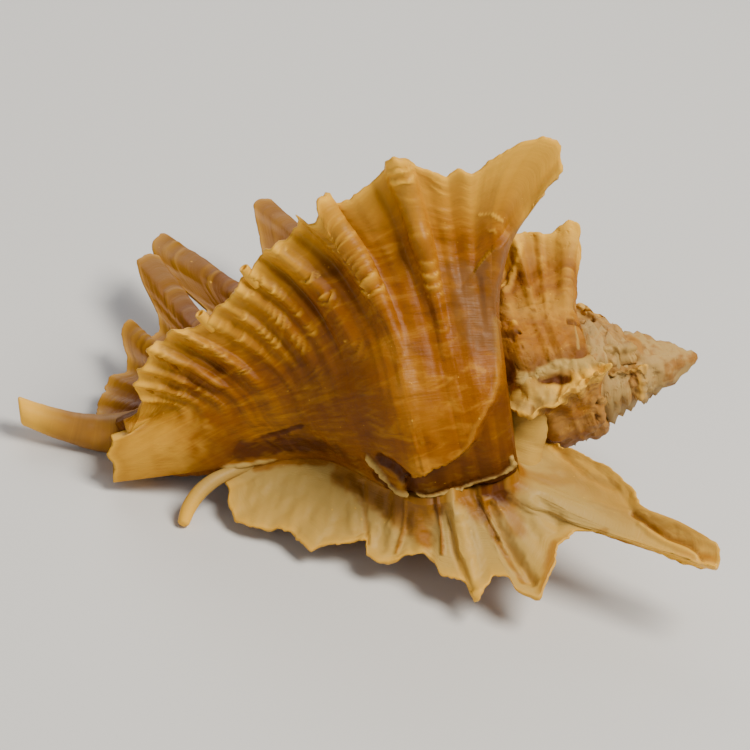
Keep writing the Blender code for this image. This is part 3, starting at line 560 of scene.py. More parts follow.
def faded(whorl, rim):
    """The rim of the wing beside the aperture: low, and gone altogether soon after its shoulder."""
    table, (places, alongs, reaches) = np.array(rim), np.array(whorl).T
    foot = np.stack([np.interp(table[:, 0], places, value) for value in (alongs, reaches)], 1)
    keep = APERTURE_SHARE * np.clip(1 - np.maximum(0, table[:, 0] - APERTURE_SIDE) / APERTURE_FADE, 0, 1)
    table[:, 1:] = foot + (table[:, 1:] - foot) * keep[:, None]
    return table.tolist()


def axis_point(along, turn, reach):
    """A point of the build frame: x toward the apex, y away from the viewer, z up in the photograph."""
    along, turn, reach = np.broadcast_arrays(along, turn, reach)
    angle = np.radians(turn)
    return np.stack([-along, -reach * np.cos(angle), reach * np.sin(angle)], axis=-1)


def rest_axes():
    """Rows forward, side and upward of the lying shell in the build frame."""
    along, near, up = UP_AT_REST
    upward = Vector((-along, -near, up)).normalized()
    forward = Vector((1.0, 0.0, 0.0))
    forward = (forward - upward * forward.dot(upward)).normalized()
    return np.array([forward, upward.cross(forward), upward])


def at_rest(points):
    """Build points in millimetres, turned and moved to where the shell lies, in metres.

    What would reach below the floor is worn flat on it."""
    lying = points @ rest_axes().T + np.array(REST_PLACE)
    lying[..., 2] = np.maximum(lying[..., 2], 0.0)
    return lying * MM


def running_mean(values, weights):
    """Each value's mean with those beside it by these weights, with both ends carried on."""
    return np.convolve(np.pad(values, len(weights) // 2, mode="edge"), weights / weights.sum(), mode="valid")


def cosine_weights(half):
    """Weights that rise and fall as a raised cosine, `half` on either side of the middle one."""
    return bump(np.linspace(-1, 1, 2 * half + 1))


def rim_columns(stations, count, rounding):
    """Places, along, reach and length of `count` points spread evenly along a rim.

    The rim is straight between its stations, rounded by a mean weighted as a raised cosine over the
    rounding length on either side."""
    table = np.array(stations)
    chord = np.concatenate([[0], np.cumsum(np.hypot(*np.diff(table[:, 1:], axis=0).T))])
    fine = np.arange(0, chord[-1], FINE_STEP)
    weights = cosine_weights(max(1, round(rounding / FINE_STEP)))
    curve = [running_mean(np.interp(fine, chord, value), weights) for value in table.T]
    length = np.concatenate([[0], np.cumsum(np.hypot(np.diff(curve[1]), np.diff(curve[2])))])
    even = np.linspace(0, length[-1], count)
    return [np.interp(even, length, value) for value in curve] + [even]


def lifted(points):
    """Points of the build frame with the spire bent up a little toward the apex."""
    full, none, lift = APEX_LIFT
    moved = points.copy()
    moved[..., 2] += lift * (1 - ease(full, none, -points[..., 0]))
    return moved


def hollow_edge(along, turn):
    """Outer reach of the hollow at this along and turn, and zero where it isn't.

    It is middle + half width * sqrt(1 - (offset / half length)^2), with the offset along the shell."""
    table = np.array(HOLLOW)
    turn = np.broadcast_to(turn, along.shape)
    middle_along, middle, half_long, half_wide = (np.interp(turn, table[:, 0], row) for row in table.T[1:])
    root = 1 - ((along - middle_along) / half_long) ** 2
    inside = (root > 0) & (turn > table[0, 0]) & (turn < table[-1, 0])
    return np.where(inside, middle + half_wide * np.sqrt(np.clip(root, 0, 1)), 0.0)


# Tearing of a rim: (mm between random values, row of the noise), each at half strength, and its offset.
TEARING = ((1.3, 0.5), (0.5, 7.5))
TEARING_OFFSET = 0.3
# The exponent by which a sheet takes up its ragged rim.
RAGGED_RISE = 5
# Least lengths in mm that an angle or a share is taken of.
LEAST_REACH = 6.0
LEAST_RAY = 2.0
# Degrees round the rim at its three rows, rows of the inside, and the least wall outside the hollow in mm.
RIM_ANGLES = (40.0, 90.0, 140.0)
INSIDE_ROWS = 10
LEAST_WALL = 0.6
# Places are softened over one in this many columns on either side.
SOFT_COLUMNS = 110
# The canal end beyond the outline: its tearing in mm, degrees between values, and growth steps a mm.
TONGUE_TEARING = 0.5
TONGUE_CELL = 9.0
TONGUE_GROWTH = 0.75
# What `beyond` says where there is no keel.
NO_KEEL = -20.0


def torn_rim(rim, foot, rim_mm, look):
    """A rim drawn in and out from its foot by noise, each as (along, reach); how far it stands out at a
    column, and a share that says how free of the whorl it is."""
    ray = np.hypot(*(rim - foot))
    free = ease(1.0, 5.0, ray)
    torn = sum(grid_noise(rim_mm / cell, row, look["seed"]) * 0.5 for cell, row in TEARING) - TEARING_OFFSET
    return foot + (rim - foot) * (1 + free * look["ragged"] * torn / np.maximum(ray, LEAST_RAY)), ray, free


def past_keel(turn, along, grow, place, outer, look):
    """Along and growth with the canal end drawn out by the tongue, and how far past the keel, in mm."""
    longer = (np.interp(turn, *np.array(TONGUE).T)
              + TONGUE_TEARING * grid_noise(turn / TONGUE_CELL, 0.5, look["seed"] + 13))
    longer = longer * ease(TONGUE_START, 1.0, place)
    along = along + longer
    beyond = np.interp(turn, *np.array(KEEL).T) - along - 30.0 * ease(30.0, 48.0, turn)
    return along, grow + TONGUE_GROWTH * longer, np.where(outer, beyond, NO_KEEL)


def sector(start, wing, whorl_start, whorl_end, rim, shoulder_sweep, look, hollow=None):
    """One sector as a ring of rows by columns.

    Whorl rows run from the start turn to the wing's lift, on an outline blended from the start's to the
    end's. Back rows follow out = step^1.5 and turn = lift + (rim - lift) (1 - (1 - step)^2.2). Front rows
    follow out = 1 - step and turn = root + (rim + edge - root) (1 - step^3). Between them three rows round
    the rim. Both aim at a smoothed rim, and take up the difference to the ragged one as out^5. `ray` is
    how far the wing stands out at a column, `grow` counts growth steps, and `beyond` is how far a point
    lies past the keel, in mm."""
    place, rim_along, rim_reach, rim_mm = rim_columns(rim, look["columns"], look["rounding"])
    place = running_mean(place, np.ones(2 * max(1, look["columns"] // SOFT_COLUMNS) + 1))
    along0, reach0 = outline(whorl_start, place)
    along1, reach1 = outline(whorl_end, place)
    sweep = SWEEP + (shoulder_sweep - SWEEP) * np.clip((SHOULDER_END - place) / SHOULDER_BLEND, 0, 1)
    foot = np.stack([along1, reach1])
    (rim_along, rim_reach), ray, free = torn_rim(np.stack([rim_along, rim_reach]), foot, rim_mm, look)
    rim_turn = wing["rim"] + wing.get("lean", 0.0) * (wing.get("middle", 0.0) - rim_along) * free
    weights = cosine_weights(max(1, round(look["rim_blend"] / rim_mm[1])))
    inner_along, inner_reach = (running_mean(value, weights) for value in (rim_along, rim_reach))

    def toward_rim(root_along, root_reach, out):
        ragged = out ** RAGGED_RISE
        along = root_along + (inner_along - root_along) * out ** sweep + (rim_along - inner_along) * ragged
        return along, root_reach + (inner_reach - root_reach) * out + (rim_reach - inner_reach) * ragged

    def whorl_at(turn):
        share = np.clip((turn - start) / (wing["root"] - start), 0, 1)
        return along0 + (along1 - along0) * share, reach0 + (reach1 - reach0) * share

    stores = [], [], [], [], []

    def add(turn, along, reach, out, grow):
        shape = np.broadcast(turn, along, out).shape
        for store, value in zip(stores, (turn, along, reach, out, grow)):
            store.append(np.broadcast_to(value, shape))

    turn = np.linspace(0, 1, look["whorl_rows"], endpoint=False)[:, None] ** look["early"]
    turn = start + (wing["lift"] - start) * turn
    whorl_mm = (turn - wing["lift"]) * np.radians(1) * reach1.max()
    add(turn, *whorl_at(turn), 0.0, whorl_mm / look["scale_pitch"])
    lift_along, lift_reach = whorl_at(wing["lift"])
    step = np.linspace(0, 1, look["back_rows"])[:, None]
    out = step ** BACK_RISE
    turn = wing["lift"] + (rim_turn - wing["lift"]) * (1 - (1 - step) ** wing.get("turning", BACK_TURNING))
    add(turn, *toward_rim(lift_along, lift_reach, out), out, step * look["scales"])
    edge = np.degrees(look["edge"] / np.maximum(rim_reach, LEAST_REACH))
    round_off = np.radians(RIM_ANGLES)[:, None]
    past = 1 + look["edge"] / 2 * np.sin(round_off) / np.maximum(ray, LEAST_RAY) * free
    root_along, root_reach = whorl_at(wing["root"])
    add(rim_turn + edge * (1 - np.cos(round_off)) / 2, root_along + (rim_along - root_along) * past,
        root_reach + (rim_reach - root_reach) * past, 1.0, look["scales"])
    step = np.linspace(0, 1, look["front_rows"])[:, None]
    out = 1 - step
    turn = wing["root"] + (rim_turn + edge - wing["root"]) * (1 - step ** wing.get("turning", FRONT_TURNING))
    add(turn, *toward_rim(root_along, root_reach, out), out, out * look["scales"])
    turn = np.linspace(wing["root"], start, INSIDE_ROWS + 2)[1:-1, None]
    along, reach = whorl_at(turn)
    deep = reach * CORE_SHARE
    if hollow:
        deep = np.clip(np.maximum(deep, hollow_edge(along, turn) + hollow), None, reach - LEAST_WALL)
    add(turn, along, deep, 0.0, 0.0)

    rows = [look["whorl_rows"], look["back_rows"], len(RIM_ANGLES), look["front_rows"], INSIDE_ROWS]
    kind = np.repeat([OUTER, OUTER, EDGE, FRONT, INSIDE], rows)
    turn, along, reach, out, grow = (np.concatenate(store) for store in stores)
    place, beyond = np.broadcast_to(place, out.shape), np.full(out.shape, NO_KEEL)
    if look["keel"]:
        along, grow, beyond = past_keel(turn, along, grow, place, kind[:, None] == OUTER, look)
        reach = reach - KEEL_DROP * ease(0.0, 1.3, beyond)
    return {"points": axis_point(along, turn, reach), "along": along, "reach": reach, "turn": turn,
            "out": out, "grow": grow, "kind": kind, "place": place, "ray": ray, "rim_mm": rim_mm,
            "beyond": beyond, "start": start}


def normals_of(points):
    """Unit normals of a grid: the cross product of its steps along rows and along columns."""
    across = np.cross(np.gradient(points, axis=0), np.gradient(points, axis=1))
    return across / np.maximum(np.linalg.norm(across, axis=-1, keepdims=True), 1e-9)


# A scale rises over this share of a growth step, by this exponent, and drops over the rest.
TOOTH_PEAK = 0.86
TOOTH_RISE = 1.6


def sawtooth(phase):
    """Rises as share^1.6 to 1, then drops in the last seventh of each turn."""
    part = phase - np.floor(phase)
    return np.where(part < TOOTH_PEAK, (part / TOOTH_PEAK) ** TOOTH_RISE, 1 - ease(TOOTH_PEAK, 1.0, part))


# Cords: how lumpy they are, over how many growth steps, and the exponent of their rise to the rim.
CORD_LUMPS = 0.4
LUMP_STEPS = 2.1
CORD_RISE = 0.7
# Scales: the mean, spread and most of their heights, the exponent that squares them, the level they rise
# from, and their share on the whorl.
SCALE_MEAN = 0.45
SCALE_SPREAD = 1.4
SCALE_MOST = 1.6
SCALE_SQUARENESS = 0.7
SCALE_LEVEL = 0.35
SCALES_ON_WHORL = 0.15
# Growth, in growth steps: its wavering, its slant from suture to canal, its most lead on a cord, and the
# share of that lead on the whorl.
WAVER = 0.9
SLANT = 1.2
MOST_AHEAD = 1.6
AHEAD_ON_WHORL = 0.3
# Swells of the sheet: (mm of the rim, growth steps) between values, the strength of the fine ones and the
# share of the broad ones on the whorl.
BROAD_SWELL = (7.0, 4.5)
FINE_SWELL = (3.1, 2.2)
FINE_SWELL_SHARE = 0.5
SWELL_ON_WHORL = 0.3
# Growth lines: (strength, lines a growth step, phase, level) of the regular ones and (strength, values
# from suture to canal, values a growth step, added to the seed) of the noises.
REGULAR_LINES = (0.5, 2.0, 0.3, 0.4)
UNEVEN_LINES = ((0.7, 14, 2.3, 2), (0.5, 40, 5.0, 8))
# Striae along the cords: height in mm, values from suture to canal, and growth steps between values.
STRIAE = (0.015, 190, 6.0)
# Knobs of a worn sector: (strength, mm between values, seed). Its pits, where two noises are high: (from,
# whole from, mm between values, seed), and their depth against a knob.
KNOBS = ((1.0, 2.4, 15), (0.5, 0.9, 16))
PITS = ((0.30, 0.5, 1.3, 13), (0.0, 0.4, 4.0, 14))
PIT_DEPTH = 1.2
# The keel: how much it smooths what is beyond it, and its line's place and half width in mm.
KEEL_SMOOTHING = 0.7
KEEL_LINE = (0.35, 0.8)
# The crust beside the seam: its middle and half width in mm, its height and how uneven that is, and mm
# between the values of its noises: along the seam, away from it, and of its gaps.
CRUST_LINE = (0.9, 1.0)
CRUST_HEIGHT = 0.45
CRUST_UNEVEN = 0.35
CRUST_CELLS = (1.1, 0.8, 3.0)
# The front's share of the swells, knobs and growth lines, and how much less of those a cream front has.
FRONT_SWELL = 0.8
FRONT_KNOBS = 0.6
FRONT_LINES = 0.6
CREAM_LINES = 0.45


def up_from(least, share):
    """From `least` to 1 as the share goes from 0 to 1."""
    return least + (1 - least) * share


def keel_line(beyond):
    """A raised cosine along the keel's edge."""
    place, half = KEEL_LINE
    return bump((beyond + place) / half)


def cord_relief(grid, cords, seed):
    """Heights of the cords and of their scales in mm, and growth's lead on them in growth steps.

    A cord is a raised cosine across its half width; its own row of the noise makes it lumpy and its scales
    uneven."""
    place, grow = grid["place"], grid["grow"]
    ridge, scale_height, ahead = (np.zeros(place.shape) for _ in range(3))
    for index, (middle, half, height, scales) in enumerate(cords):
        shape = bump((place - middle) / half)
        lumps = 1 + CORD_LUMPS * grid_noise(grow / LUMP_STEPS, index * 3.7, seed + 3)
        ridge += height * shape * lumps
        stray = grid_noise(np.floor(grow) * 1.7, index * 5.1, seed + 5)
        scale_height += (scales * shape ** SCALE_SQUARENESS
                         * np.clip(SCALE_MEAN + SCALE_SPREAD * stray, 0.0, SCALE_MOST))
        ahead += min(MOST_AHEAD, max(0.0, height)) * shape
    return ridge, scale_height, ahead


def swells(grid, look):
    """Broad and fine swells of the sheet, in mm."""
    rim_mm, grow, seed = grid["rim_mm"], grid["grow"], look["seed"]
    broad, fine = (grid_noise(rim_mm / wide, grow / long, seed + offset)
                   for (wide, long), offset in ((BROAD_SWELL, 6), (FINE_SWELL, 7)))
    return look["swell"] * (broad * up_from(SWELL_ON_WHORL, grid["out"]) + FINE_SWELL_SHARE * fine)


def growth_lines(place, phase, seed):
    """Fine lines of growth, as shares of the ripple height: a regular sawtooth and two noises."""
    strength, pace, shift, level = REGULAR_LINES
    lines = strength * (sawtooth(phase * pace + shift) - level)
    for strength, across, down, offset in UNEVEN_LINES:
        lines = lines + strength * grid_noise(place * across, phase * down, seed + offset)
    return lines


def knobs_of(points):
    """Noise of the knobs on worn shell, coarse and fine."""
    return sum(strength * space_noise(points, cell, seed) for strength, cell, seed in KNOBS)


def weathering(points, worn):
    """Where worn shell is pitted, as a share, and the height of its knobs and pits in mm."""
    if not worn:
        return np.zeros(points.shape[:-1]), np.zeros(points.shape[:-1])
    fine, coarse = (ease(low, high, space_noise(points, cell, seed)) for low, high, cell, seed in PITS)
    pits = fine * coarse
    return pits, worn * (knobs_of(points) - PIT_DEPTH * pits)


def crust_of(grid, arc_mm, look):
    """The crust beside the seam: its shape from 0 to 1 by its strength, and its height in mm."""
    place, rim_mm, seed = grid["place"], grid["rim_mm"], look["seed"]
    middle, half = CRUST_LINE
    across, down, gap = CRUST_CELLS
    uneven = grid_noise(rim_mm / across, arc_mm / down, seed + 11)
    crust = (bump((arc_mm - middle) / half) * look["crust"] * (grid["kind"] == OUTER)[:, None]
             * ease(-0.55, 0.25, grid_noise(rim_mm / gap, 0.5, seed + 12))
             * ease(0.03, 0.07, place) * (1 - ease(0.58, 0.66, place)))
    return crust, crust * (CRUST_HEIGHT + CRUST_UNEVEN * uneven)


def sculpt(grid, cords, look, marks=()):
    """Raises cords, scales, ripples and marks on a sector.

    Height on the back = cords * rise(out) + scales * sawtooth(growth) + swells and ripples. Growth runs
    ahead on a cord, so its scales are arcs. The front gets the same cords as grooves, so the wing stays a
    thin fluted sheet."""
    place, out, grow, kind, beyond = (grid[key] for key in ("place", "out", "grow", "kind", "beyond"))
    points, seed = grid["points"], look["seed"]
    rise = up_from(look["dome"], ease(-0.02, 0.6, out) ** CORD_RISE)
    ridge, scale_height, ahead = cord_relief(grid, cords, seed)
    phase = (grow + WAVER * grid_noise(place * 16, grow / 2.4, seed + 1) + SLANT * place
             + look["arcs"] * ahead * up_from(AHEAD_ON_WHORL, rise))
    teeth = sawtooth(phase)
    near_rim = (1 - out) * grid["ray"]
    envelope = ease(0.0, 1.0, near_rim) * up_from(SCALES_ON_WHORL, ease(0.02, 0.4, out))
    swell, lines = swells(grid, look), growth_lines(place, phase, seed)
    fine, across, down = STRIAE
    striae = (fine * look["cord_share"] * grid_noise(place * across, grow / down, seed + 9)
              * ease(0.12, 0.2, place))
    height = (look["cord_share"] * ridge * rise
              + look["scale_share"] * scale_height * (teeth - SCALE_LEVEL) * envelope)
    pits, knobs = weathering(points, look["worn"])
    height = height + swell + look["ripple"] * lines + striae + knobs
    flap_depth, flap_share, flap_tip = flap_of(points)
    flap_share = flap_share * (look["keel"] & (kind == OUTER)[:, None])
    height = height * (1 - KEEL_SMOOTHING * ease(0.3, 1.5, beyond))
    height = (height + KEEL_HEIGHT * keel_line(beyond)
              + FLAP_HEIGHT * ease(-0.05, 0.25, flap_depth) * flap_share)
    arc_mm = np.radians(grid["turn"] - grid["start"]) * grid["reach"]
    crust, crust_height = crust_of(grid, arc_mm, look)
    outer_marks, front_marks, painted = marked(grid, marks)
    outer_height = height * ease(0.0, 2.5, arc_mm) + outer_marks + crust_height
    front_rise = ease(0.0, 0.5, out)
    front_height = (-(look["cord_share"] * look["flutes"] * ridge * rise * front_rise)
                    - FRONT_SWELL * swell * front_rise
                    + look["ripple"] * (FRONT_LINES - CREAM_LINES * look["cream"]) * lines
                    + front_marks + FRONT_KNOBS * knobs)

    back, front = normals_of(points[kind == OUTER]), normals_of(points[kind == FRONT])
    outward = np.sum(back[: look["whorl_rows"], :, 1:] * points[: look["whorl_rows"], :, 1:])
    back, front = back * np.sign(outward), front * np.sign(outward)
    moved_back = back * outer_height[kind == OUTER][..., None]
    moved_front = front * front_height[kind == FRONT][..., None]
    share = np.linspace(0, 1, len(RIM_ANGLES) + 2)[1:-1, None, None]
    points = points.copy()
    points[kind == OUTER] += moved_back
    points[kind == EDGE] += moved_back[-1] * (1 - share) + moved_front[0] * share
    points[kind == FRONT] += moved_front
    return grid | {
        "points": points, "near_rim": near_rim, "arc_mm": arc_mm, "painted": painted, "pits": pits,
        "teeth": teeth * np.clip(scale_height * 3, 0, 1) * envelope, "crest": np.clip(ridge * rise, -2, 3),
        "crust": crust, "flap": flap_share * ease(0.0, 0.4, flap_depth), "flutes": ridge * front_rise,
        "flap edge": flap_share * flap_tip * bump((flap_depth - 0.1) / 0.4)}


# How much each feature of the surface counts in a mask. Much of it is painted light. In pale: the rim's
# glow, painted for light through the thin sheet; painted highlights on outer crests and the flap's edge, and
# in part on the keel's line; and the high wing, lighter in part as painted light. In blush: painted
# highlights
# on inner crests. In deep: painted shade in grooves, at the wing's foot, between cords, in the recess past
# the keel and under the crust, and shade, which is painted shade over a whole wing. In stain: painted
# shade at the front's root and in its flutes, beside orange stain near the rim.
SHARES = {
    "pale": {"rim": 0.8, "outer crest": 0.12, "scales": 0.62, "high": 0.36, "high shoulder": 0.36,
             "keel line": 0.15, "open end": 0.7, "flap edge": 0.6},
    "deep": {"groove": 0.55, "foot": 0.25, "between": 0.16, "recess": 0.6, "below crust": 0.7, "shade": 1.0},
    "blush": {"inner crest": 0.1, "shoulder": 0.8, "flap": 0.7},
    "stain": {"root": 0.8, "near rim": 0.12, "flute": 0.1},
}


def weighed(name, features):
    """The sum of the features of a mask by their shares, from 0 to 1."""
    return np.clip(sum(share * features[key] for key, share in SHARES[name].items()), 0, 1)


def colour_masks(grid, look):
    """Masks that the finishes mix colours by, each from 0 to 1.

    pale: rims, crests, scale edges, the flap's edge and the open end. The rims' glow, painted for light
    through the thin sheet, and the highlights on crests and the flap's edge are painted light, as is the
    keel's line in part, and the upper wing is lighter in part as painted light. deep: painted shade in
    grooves, at the foot of the wing, between cords, beyond the keel, beside the crust and over a shaded
    wing; pits are darkened too.
    blush: pinkish shoulder and flap, with painted highlights on inner crests. cream: the fronts and the
    crust.
    stain: orange stain on the fronts, with painted shade at their root and in their flutes. old:
    weathering. The marks add theirs, painted shade among them. In the features, a pair of numbers is where
    one
    starts and is whole: in mm of height or distance, in shares of the way out, or in places."""
    place, out, kind = grid["place"], grid["out"], grid["kind"][:, None]
    near_rim, crest_mm, beyond, arc_mm = grid["near_rim"], grid["crest"], grid["beyond"], grid["arc_mm"]
    front = np.where(kind == FRONT, 1.0, np.where(kind == EDGE, 0.5, 0.0)) * np.ones(place.shape)
    # rim is a pale edge painted for the glow of light through the thin sheet.
    rim = np.exp(-near_rim / 0.6) * (out > 0) * ease(1.0, 4.0, grid["ray"])
    crest = ease(0.15, 1.5, crest_mm)
    high = ease(0.4, 1.0, out)
    recess = ease(0.2, 1.6, beyond)
    shoulder = ease(0.26, 0.12, place) * ease(12.0, 26.0, grid["turn"]) * look["keel"]
    features = {
        "rim": rim,
        "outer crest": crest * ease(0.1, 0.7, out),
        "inner crest": crest * ease(0.05, 0.4, out) * (1 - ease(0.75, 1.0, out)),
        "scales": grid["teeth"] * (1 - front),
        "high": high,
        "high shoulder": high * ease(0.18, 0.14, place),
        "keel line": keel_line(beyond),
        "open end": look["keel"] * (kind == OUTER) * ease(0.975, 1.0, place),
        "flap edge": grid["flap edge"],
        "flap": grid["flap"],
        # groove, foot, between, recess and below crust are painted shade, and shade is painted shade over a
        # whole wing.
        "groove": ease(0.1, 0.9, -crest_mm) * ease(0.0, 0.3, out),
        "foot": (1 - ease(0.0, 0.45, out)) * ease(0.36, 0.56, place) * (1 - ease(0.86, 0.95, place)),
        "between": (1 - ease(0.05, 0.6, np.abs(crest_mm))) * ease(0.28, 0.45, place) * (1 - 0.8 * out),
        "recess": recess,
        "below crust": (look["crust"] * (kind == OUTER) * ease(0.8, 2.2, arc_mm)
                        * (1 - ease(3.0, 6.5, arc_mm))),
        "shade": look["shade"],
        "shoulder": shoulder * (1 - ease(0.15, 0.5, out)),
        # root and flute are painted shade at the front's root and in its flutes; near rim is orange stain.
        "root": 1 - ease(0.0, 0.13, out),
        "near rim": np.exp(-near_rim / 1.0),
        "flute": ease(0.2, 0.8, -grid["flutes"]),
    }
    masks = {
        # pale holds the rim's painted glow and painted highlights; deep holds painted shade.
        "pale": weighed("pale", features) * (1 - look["shade"]) * (1 - 0.5 * front),
        "deep": weighed("deep", features) * (1 - 0.6 * rim) * (1 - front),
        "blush": weighed("blush", features) * (1 - front) * (1 - recess),
        "cream": np.clip(front * look["cream"] + 1.2 * grid["crust"], 0, 1),
        "stain": weighed("stain", features) * front,
        "old": look["old"] * (1 - 0.7 * front),
    }
    painted = grid["painted"]
    for name, value in painted.items():
        masks[name] = np.clip(masks[name] + value, 0, 1)
    # The painted stain of the marks holds orange stains and painted shade in dents.
    light, painted_stain_and_shade = painted.get("cream", 0), painted.get("stain", 0)
    dark = np.maximum(painted.get("deep", 0), 0.7 * grid["pits"]) * (1 - light)
    masks["deep"] = np.clip(masks["deep"] + dark, 0, 1)
    for name in ("cream", "pale", "old", "stain"):
        masks[name] = masks[name] * (1 - dark)
    masks["pale"] = masks["pale"] * (1 - 0.8 * painted_stain_and_shade) * (1 - light)
    masks["stain"] = masks["stain"] * (1 - light)
    masks["cream"] = masks["cream"] * (1 - 0.5 * painted_stain_and_shade * front)
    return masks | {"growth": grid["grow"], "ray": place * 10}


def ring_faces(rows, columns):
    """Quads of a ring of rows by columns whose last row joins the first, and fans that close both ends."""
    row, column = np.arange(rows)[:, None], np.arange(columns - 1)[None, :]
    after = (row + 1) % rows
    quads = np.stack([row * columns + column, after * columns + column, after * columns + column + 1,
                      row * columns + column + 1], -1).reshape(-1, 4)
    ring, following = np.arange(rows), (np.arange(rows) + 1) % rows
    total = rows * columns
    low = np.stack([following * columns, ring * columns, np.full(rows, total)], -1)
    high = np.stack([ring * columns + columns - 1, following * columns + columns - 1,
                     np.full(rows, total + 1)], -1)
    return quads, np.concatenate([low, high])


def ring_mesh(points, masks):
    """Points, quads, triangles and masks of a closed ring, faces outward, a middle point in each end."""
    rows, columns = points.shape[:2]
    quads, fans = ring_faces(rows, columns)
    ends = points[:, [0, -1]].mean(axis=0)
    flat = np.concatenate([points.reshape(-1, 3), ends])
    kept = {name: np.concatenate([value.reshape(-1), value[:, [0, -1]].mean(axis=0)])
            for name, value in masks.items()}
    a, b, c = (flat[quads[:, k]] for k in (0, 1, 2))
    d = flat[quads[:, 3]]
    volume = np.einsum("ij,ij->", a, np.cross(b, c)) + np.einsum("ij,ij->", a, np.cross(c, d))
    if volume < 0:
        quads, fans = quads[:, ::-1], fans[:, ::-1]
    return flat, quads, fans, kept


def path_frames(path):
    """Unit vectors of a path: side = tangent x y axis, over = side x tangent, and the tangent itself."""
    tangent = np.gradient(path, axis=0)
    tangent /= np.linalg.norm(tangent, axis=1, keepdims=True)
    side = np.cross(tangent, [0.0, 1.0, 0.0])
    side /= np.linalg.norm(side, axis=1, keepdims=True)
    return side, np.cross(side, tangent), tangent


# An open end rolls in and is then hollowed back: (mm from the end, share of the opening). A closed end is
# rounded over this share of its radius.
HOLLOWED_BACK = [(-0.8, 0.85), (-1.8, 0.6), (-2.6, 0.2)]
CLOSED_LENGTH = 0.7
# Roughness of a tube: (share of its radius, mm between values, their lean round it, values round it) of
# two noises.
TUBE_NOISES = ((0.05, 2.2, 0.35, 1.5), (0.02, 0.5, 0.8, 1.2))
RIB_MM = 1.7
# The length of a tube's end, in mm, and the radii from which roughness and knobs are whole.
END_MM = 9.0
ROUGH_RADIUS = 3
KNOB_RADIUS = 2.0


def tube_end(radius, opening):
    """Shifts past the end of a tube in mm, and its radii there, rounded in and, if open, hollowed back."""
    if not opening:
        curve = np.radians(np.linspace(0, 84, 6))[1:]
        return radius * CLOSED_LENGTH * np.sin(curve), radius * np.cos(curve)
    curve = np.radians(np.linspace(0, 180, 7))[1:]
    wall = radius * (1 - opening)
    back, share = np.array(HOLLOWED_BACK).T
    return (np.concatenate([np.sin(curve) * wall / 2, back]),
            np.concatenate([radius - wall * (1 - np.cos(curve)) / 2, radius * opening * share]))


def tube_ribs(along, angle, seed):
    """A sawtooth of rings along a tube, slanted and wavering."""
    waver = 0.3 * grid_noise(along / 3.0, np.cos(angle) * 2, seed)
    return sawtooth(along / RIB_MM + 0.4 * np.cos(angle) + 0.3 * np.sin(2 * angle) + waver)


def tube(middle, rows, sides, look, opening=0.0, flat=1.0, slant=0.0, ribs=0.0):
    """A tube round a smooth line, radius swept with it, its end rounded in and, if open, hollowed back.

    Slant leans the cut of its end, ribs raise rings on it, flat narrows it away from the viewer."""
    table = np.array(middle)
    path = np.stack([-table[:, 0], -table[:, 1], table[:, 2]], 1)
    chord = np.concatenate([[0], np.cumsum(np.linalg.norm(np.diff(path, axis=0), axis=1))])
    at = np.linspace(0, chord[-1], rows)
    line = smooth_through(chord, path, at)
    radius = smooth_through(chord, table[:, 3], at)
    side, over, tangent = path_frames(line)
    shift, close = tube_end(radius[-1], opening)
    line = np.concatenate([line, line[-1] + tangent[-1] * shift[:, None]])
    extra = len(shift)
    side, over = (np.concatenate([value, np.repeat(value[-1:], extra, axis=0)]) for value in (side, over))
    radius = np.concatenate([radius, close])
    along = np.concatenate([at, np.full(extra, at[-1])])[:, None]
    angle = np.linspace(0, 2 * np.pi, sides, endpoint=False)[None, :]
    rough = sum(strength * grid_noise(along / cell + lean * np.sin(angle), np.cos(angle) * round_it,
                                      look["seed"] + offset)
                for offset, (strength, cell, lean, round_it) in enumerate(TUBE_NOISES))
    rough = rough + ribs * tube_ribs(along, angle, look["seed"] + 2)
    size = radius[:, None] * (1 + rough * np.minimum(1, radius[:, None] / ROUGH_RADIUS) * look["tube_rough"])
    end = ease(0.0, 1.0, (along - at[-1] + END_MM) / END_MM) * np.ones(size.shape)
    outward = side[:, None] * np.cos(angle)[..., None] + over[:, None] * (np.sin(angle) * flat)[..., None]
    points = (line[:, None] + outward * size[..., None]
              + tangent[-1] * (slant * size * np.cos(angle) * end ** 2)[..., None])
    if look["worn"]:
        knobs = look["worn"] * knobs_of(points) * np.minimum(1, size / KNOB_RADIUS)
        points = points + outward * knobs[..., None]
    return points, along * np.ones(size.shape), end


def tube_mesh(points, masks):
    """Points, quads, triangles and masks of a tube whose rows are closed rings, capped by fans."""
    turned = np.swapaxes(points, 0, 1)
    return ring_mesh(turned, {name: np.swapaxes(value, 0, 1) for name, value in masks.items()})


def join(parts):
    """One mesh from several: their points, quads, triangles and masks one after the other."""
    points, quads, fans, masks, base = [], [], [], {}, 0
    for flat, four, three, kept in parts:
        points.append(flat)
        quads.append(four + base)
        fans.append(three + base)
        for name, value in kept.items():
            masks.setdefault(name, []).append(value)
        base += len(flat)
    return (np.concatenate(points), np.concatenate(quads), np.concatenate(fans),
            {name: np.concatenate(value) for name, value in masks.items()})


